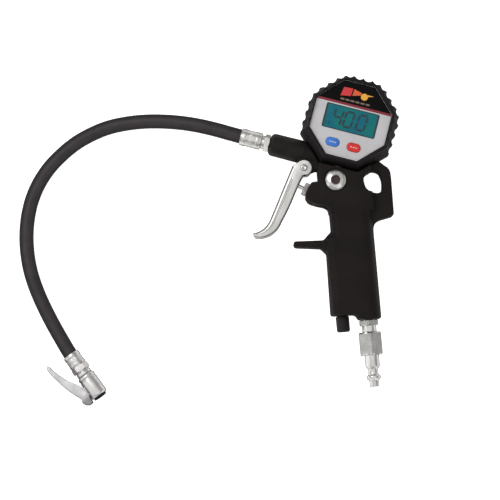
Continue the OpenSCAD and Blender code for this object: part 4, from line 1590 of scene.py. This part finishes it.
    def film_piece(self, name: str, finish: Finish, outline: Sequence[Point], layer: int = 1) -> None:
        """Lays a printed film on the face.

        Args:
            name: The piece's name.
            finish: Its ink.
            outline: Its outline, anticlockwise.
            layer: How many films up it lies.
        """
        low = self.face + self.film * (layer - 1)
        shape = Shape().plate([Vector(p) for p in outline], low + 0.005, low + self.film)
        Piece(name, finish, Body.GUN, Slot.PANEL).place(shape, PLACES.gauge())

    def label(self) -> None:
        """Lays the label: a black field over a stripe, with a flag, a flash, a pointed disc and six ticks."""
        flat, low, stripe = self.window_flat - 0.15, self.label_from, 1.9
        cut = flat * math.tan(math.radians(22.5))
        end = flat + cut - low
        self.film_piece("label_field", LABEL_BLACK, [(-end, low), (end, low), (cut, flat), (-cut, flat)])
        line = [(-flat, low - stripe), (flat, low - stripe), (end, low), (-end, low)]
        self.film_piece("label_line", LABEL_STRIPE, line)
        flag = [(-13.0, 17.6), (-4.6, 19.2), (-4.2, 25.4), (-11.6, 24.9)]
        self.film_piece("label_flag", LABEL_RED, flag, 2)
        flash = [(-3.6, 19.6), (3.0, 21.4), (3.4, 23.4), (-3.2, 25.2)]
        self.film_piece("label_flash", LABEL_ORANGE, flash, 2)
        self.film_piece("label_disc", LABEL_AMBER, arc((6.0, 20.9), 2.8, 0, 345, 23), 2)
        self.film_piece("label_point", LABEL_AMBER, [(8.4, 21.6), (13.4, 23.0), (8.3, 23.2)], 2)
        for k in range(6):
            x = -12.2 + 4.1 * k
            tick = [(x, 14.7), (x + 3.2, 14.7), (x + 3.2, 16.1), (x, 16.1)]
            self.film_piece(f"label_tick_{k + 1}", LABEL_GREY, tick, 2)

    def display(self) -> None:
        """Builds the lens, its dark edge, and a plain reading in seven-segment digits."""
        lens = bar(self.lens_length, self.lens_width, 1.5)
        shape = Shape().plate(lens, self.glass - 1.18, self.glass, 0.3)
        piece = Piece("display_lens", LENS_TEAL, Body.GUN, Slot.WINDOW, ("display_window",))
        piece.place(shape, PLACES.gauge())
        sides, ends = self.lens_length / 2, self.lens_width / 2
        edge, low, high = Shape(), self.glass - 0.1, self.glass + 0.04
        for x in (-1, 1):
            end = [p + Vector((x * (sides - 0.85), 0)) for p in bar(1.4, self.lens_width - 1.7, 0.1)]
            edge.plate(end, low, high)
        for y in (-1, 1):
            side = [p + Vector((0, y * (ends - 0.5))) for p in bar(self.lens_length - 1.6, 0.6, 0.2)]
            edge.plate(side, low, high)
        Piece("display_edge", LENS_EDGE, Body.GUN, Slot.DISPLAY).place(edge, PLACES.gauge())
        digits = Shape()
        for digit, x in zip("400", (-10.6, -1.6, 9.0)):
            digits.join(self.digit(digit, x))
        self.print_segment(digits, [p + Vector((3.7, -5.6)) for p in bar(1.3, 1.3, 0.3)])
        digits.join(self.cell_mark())
        Piece("display_digits", SEGMENT_DARK, Body.GUN, Slot.DISPLAY).place(digits, PLACES.gauge())

    def print_segment(self, shape: Shape, outline: Sequence[Vector]) -> None:
        """Adds one dark segment, which stands a little out of the glass, to a shape."""
        shape.plate(outline, self.glass - 0.1, self.glass + 0.05)

    def digit(self, digit: str, x: float, height: float = 12.4, width: float = 6.4,
              stroke: float = 1.8) -> Shape:
        """Draws one seven-segment digit.

        Args:
            digit: The digit to show.
            x: Its middle.
            height: Its height.
            width: Its width.
            stroke: The width of a segment.

        Returns:
            Its lit segments.
        """
        lit = {"4": "bcfg", "0": "abcdef"}[digit]
        half, side = height / 4, width / 2
        spots = {"a": (0, 2 * half, 0), "b": (side, half, 90), "c": (side, -half, 90), "d": (0, -2 * half, 0),
                 "e": (-side, -half, 90), "f": (-side, half, 90), "g": (0, 0, 0)}
        lean, lift, shape = 0.1, 0.1, Shape()
        for name in lit:
            across, up, turn = spots[name]
            length = (width if turn == 0 else 2 * half) - 0.5
            end, body = stroke / 2, length / 2
            outline = [(-body, 0), (-body + end, -end), (body - end, -end), (body, 0), (body - end, end),
                       (-body + end, end)]
            turned = [turned_about_z(turn) @ Vector((*p, 0)) for p in outline]
            points = [Vector((x + across + p.x + lean * (up + p.y), lift + up + p.y)) for p in turned]
            self.print_segment(shape, points)
        return shape

    def cell_mark(self) -> Shape:
        """Draws a small battery outline for the display's lower corner.

        Returns:
            Its strokes.
        """
        strokes = ((-17.6, -6.6, 3.4, 0.35), (-17.6, -4.9, 3.4, 0.35), (-19.2, -5.75, 0.35, 2.0),
                   (-16.0, -5.75, 0.35, 2.0), (-15.6, -5.75, 0.4, 0.9))
        shape = Shape()
        for x, y, length, width in strokes:
            self.print_segment(shape, [p + Vector((x, y)) for p in bar(length, width)])
        return shape

    def key(self, colour: str, body: Body, slot: Slot, finish: Finish) -> None:
        """Builds one domed oval key with three pale strokes on it.

        Args:
            colour: The key's colour, which names its node.
            body: The body that it moves with.
            slot: The record's slot for its finish.
            finish: Its plastic.
        """
        low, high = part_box(colour + "_button")
        middle = PLACES.gauge().inverted() @ ((low + high) / 2 / MM)
        base, top = low.z / MM, high.z / MM
        outline = [p + middle.xy for p in stadium(self.key_length, self.key_width)]
        flange = [p + middle.xy for p in stadium(self.key_length + 1.8, self.key_width + 1.8)]
        levels = ((base + 1.3, flange, 0), (base + 2.4, flange, 0), (base + 2.4, outline, 0),
                  (top - 0.75, outline, 0), (top - 0.4, outline, 0.14), (top - 0.2, outline, 0.45),
                  (top - 0.06, outline, 1.1), (top, outline, 2.2))
        rings = [[Vector((p.x, p.y, height)) for p in inset(ring, inward)] for height, ring, inward in levels]
        shape = Shape().loft(rings)
        foot = Shape().turned([(1.5, base), (1.5, base + 1.4)])
        shape.join(foot.moved(Matrix.Translation((middle.x, middle.y, 0))))
        Piece(colour + "_key", finish, body, slot, (colour + "_button",)).place(shape, PLACES.gauge())
        marks = Shape()
        for x in (-2.1, 0.0, 2.1):
            stroke = [p + middle.xy + Vector((x, 0)) for p in stadium(1.5, 0.55)]
            marks.plate(stroke, top - 0.2, top + 0.03)
        Piece(colour + "_key_marks", KEY_MARK, body, slot).place(marks, PLACES.gauge())


# ---- Chuck ----


@dataclass
class Chuck:
    """The clip-on chuck: crimped ferrules, its adapter and barrel, and the sheet-metal clip."""

    hose_radius: float = 5.85
    ferrule_radius: float = 6.8
    barrel_radius: float = 7.3
    bore: float = 4.2
    arm_ferrule_at: float = 65.1
    clip_width: float = 10.4

    def build(self) -> list[bpy.types.Object]:
        """Builds the chuck and both ferrules.

        Returns:
            The new pieces that are on the hose.
        """
        return [self.ferrule("gun_crimp", "gun_ferrule", 17.0, ARM_TURNED, PLACES.arm(), self.arm_ferrule_at),
                self.ferrule("chuck_crimp", "chuck_ferrule", 10.8, CHUCK_TURNED, PLACES.along_chuck(), 1.6),
                self.adapter(), self.barrel(), self.clip()]

    def ferrule(self, name: str, node: str, length: float, finish: Finish, place: Matrix,
                start: float) -> bpy.types.Object:
        """Builds a ferrule crimped in two bands between three ribs.

        Args:
            name: The piece's name.
            node: The node that it stands for.
            length: Its length.
            finish: Its metal.
            place: The frame that it lies in, with +Z along it.
            start: Where it starts along that frame.

        Returns:
            The ferrule.
        """
        ribs = [length * share for share in (0.18, 0.5, 0.82)]
        radius, bumps = self.ferrule_radius, ((0, -1.3), (0.25, -0.7), (0.25, 0.7), (0, 1.3))
        outside = [(radius + rise, rib + off) for rib in ribs for rise, off in bumps]
        outside += [(radius, rib + off) for rib in ribs[:2] for off in (1.35, 2.0)]
        outside.sort(key=lambda corner: corner[1])
        profile = [(self.hose_radius, 0), (radius, 0), *outside, (radius, length), (self.hose_radius, length)]

        def crimp(angle: float, reach: float, height: float) -> float:
            """Returns the radius, pressed to eight flats between the ribs."""
            pressed = reach > 6.5 and ribs[0] + 1.2 < height < ribs[2] - 1.2
            return min(reach, polygon_radius(angle, radius - 0.12, 8)) if pressed else reach

        shape = Shape().turned(profile, crimp, ease=0.25, hollow=True)
        shape.moved(Matrix.Translation((0, 0, start)))
        return Piece(name, finish, Body.GUN, Slot.PLATED_STEEL, (node,), 28).place(shape, place)

    def fitting(self) -> bpy.types.Object:
        """Builds the hose fitting on the arm: a hexagon and a collar.

        Returns:
            The fitting.
        """
        profile = [(1.9, 46), (3.5, 46), (3.5, 58.5), (6.3, 58.5), (7.2, 59.0), (7.2, 62.2), (6.3, 62.7),
                   (5.4, 62.7), (5.4, 65.0), (3.3, 65.0), (3.3, 75.9), (1.9, 75.9)]
        shape = Shape().turned(profile, hexagon(12.4), ease=0.25, hollow=True)
        piece = Piece("arm_fitting", ARM_TURNED, Body.GUN, Slot.PLATED_STEEL, ("hose_fitting",), 25)
        return piece.place(shape, PLACES.arm())

    def adapter(self) -> bpy.types.Object:
        """Builds the adapter between ferrule and barrel, with its hexagon.

        Returns:
            The adapter.
        """
        profile = [(1.7, 4), (3.2, 4), (3.2, 12.5), (6.6, 12.5), (7.5, 13.1), (7.5, 16.9), (6.6, 17.5),
                   (5.6, 17.5), (5.6, 18.3), (6.2, 18.7), (6.2, 21.3), (4.6, 21.3), (4.6, 26.3), (1.7, 26.3)]
        shape = Shape().turned(profile, hexagon(13.0), ease=0.25, hollow=True)
        piece = Piece("barrel_adapter", CHUCK_TURNED, Body.GUN, Slot.TURNED_STEEL, ("chuck_adapter",), 25)
        return piece.place(shape, PLACES.along_chuck())

    def barrel(self) -> bpy.types.Object:
        """Builds the barrel with its bore, its rim and the two ears that hold the clip.

        Returns:
            The barrel.
        """
        outer, bore = self.barrel_radius, self.bore
        profile = [(4.7, 21.6), (outer - 0.9, 21.6), (outer, 22.6), (outer, 24.4), (outer - 0.35, 24.8),
                   (outer - 0.35, 25.6), (outer, 26.0), (outer, 40.4), (outer - 0.9, 41.5), (5.5, 41.5),
                   (5.5, 39.4), (bore, 39.4), (bore, 32), (3.4, 32), (3.4, 29), (4.7, 29)]
        shape = Shape().turned(profile, ease=0.3, hollow=True)
        shape.moved(Matrix.Rotation(math.pi / 2, 4, "Y"))
        ear = eased([(29.6, -5), (30, -9.6), (32, -12), (35, -12), (36.8, -9.6), (36.8, -5)][::-1], 1.0, True)
        near, far = 2.3, 4.05
        shape.plate(ear, near, far, 0.3)
        shape.plate(ear, -far, -near, 0.3)
        piece = Piece("chuck_barrel", CHUCK_TURNED, Body.GUN, Slot.PLATED_STEEL, ("chuck_body",), 30)
        return piece.place(shape, PLACES.chuck())

    def clip(self) -> bpy.types.Object:
        """Builds the clip: a channel of bent sheet that tapers to its tail, with a nose for the valve.

        Returns:
            The clip.
        """
        stations = [((-1.3, -21.2), (-1.7, -20.0)), ((0.3, -22.3), (-0.6, -19.5)),
                    ((5, -22.3), (3.8, -18.8)), ((10.8, -21.3), (9.4, -17.1)),
                    ((19.5, -19.6), (17.2, -13.9)), ((26.4, -17.5), (23.6, -9.9)),
                    ((30, -16.2), (27.6, -8.0)), ((33, -14.9), (30.9, -6.8)),
                    ((35, -14.1), (33.6, -6.4)), ((36.4, -13.9), (36.2, -6.5)),
                    ((39.2, -14.6), (38.6, -7.2)), ((41.6, -13.6), (41.2, -7.3)),
                    ((43.2, -11.4), (43.1, -7.6))]
        shape = Channel(stations, self.clip_width, 0.9, 1.3, 0.25).shape()
        nose = eased([(37.0, -13.4), (39.3, -13.8), (39.3, -11.2), (38.7, -4.7), (37.0, -4.7)], 0.4, True)
        shape.plate(nose, -1.6, 1.6, 0.3)
        piece = Piece("sheet_clip", CLIP_SHEET, Body.CLIP, Slot.PLATED_STEEL, ("clip_lever",), 40)
        return piece.place(shape, PLACES.chuck())


# ---- The nodes that show as they are ----


@dataclass
class CarriedNodes:
    """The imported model's nodes that are the right shape, each with its own finish."""

    finishes: Mapping[str, Finish] = field(default_factory=lambda: {
        "shell_screws": BRIGHT_NICKEL, "valve_block": BLOCK_BLACK, "inlet_tube": BLACKED_STEEL_AND_SOCKET_SHADE,
        "transfer_tube": TURNED_BRASS, "exhaust_tube": STUB_BLACK, "block_plug_washer": SEAL_BLACK,
        "gland_seal": SEAL_BLACK, "valve_stem": BRIGHT_NICKEL, "valve_poppet": SEAL_BLACK,
        "valve_spring": SPRING_WIRE, "spring_seat": BLOCK_ALLOY, "pivot_clip": DARK_STEEL,
        "outlet_tube": TURNED_BRASS, "gauge_case": CASE_BLACK, "gauge_stem": BLACKED_STEEL_AND_SOCKET_SHADE,
        "stem_seal": SEAL_BLACK, "pressure_sensor": SENSOR_CAN, "circuit_board": BOARD_GREEN,
        "button_switches": SWITCH_PLASTIC, "display_module": MODULE_TEAL, "face_panel": PANEL_PALE,
        "batteries": CELL_WRAP, "battery_contacts": TURNED_BRASS, "battery_cover": COVER_BLACK,
        "cover_screws": BRIGHT_NICKEL, "chuck_washer": SEAL_BLACK, "chuck_depressor": TURNED_BRASS,
        "clip_pin": PIN_STEEL, "clip_spring": SPRING_WIRE})
    on_hose: tuple[str, ...] = ("chuck_washer", "chuck_depressor", "clip_pin", "clip_spring")

    def build(self) -> list[bpy.types.Object]:
        """Gives each node its finish.

        Returns:
            The nodes that are on the hose.
        """
        for name, finish in self.finishes.items():
            node = frame["nodes"][name]
            node.data.materials.clear()
            node.data.materials.append(finish.material())
            LOG.info("%s: %s", name, finish.name)
        return [frame["nodes"][name] for name in self.on_hose]


def main() -> None:
    """Builds the studio and every piece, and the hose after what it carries."""
    logging.basicConfig(level=logging.INFO, format="%(name)s: %(message)s")
    Studio().build()
    chuck = Chuck()
    on_hose = chuck.build()
    chuck.fitting()
    carried = CarriedNodes().build()
    Hose().build([*on_hose, *carried])
    Grip().build()
    Trigger().build()
    Gauge().build()


if __name__ == "__main__":
    main()
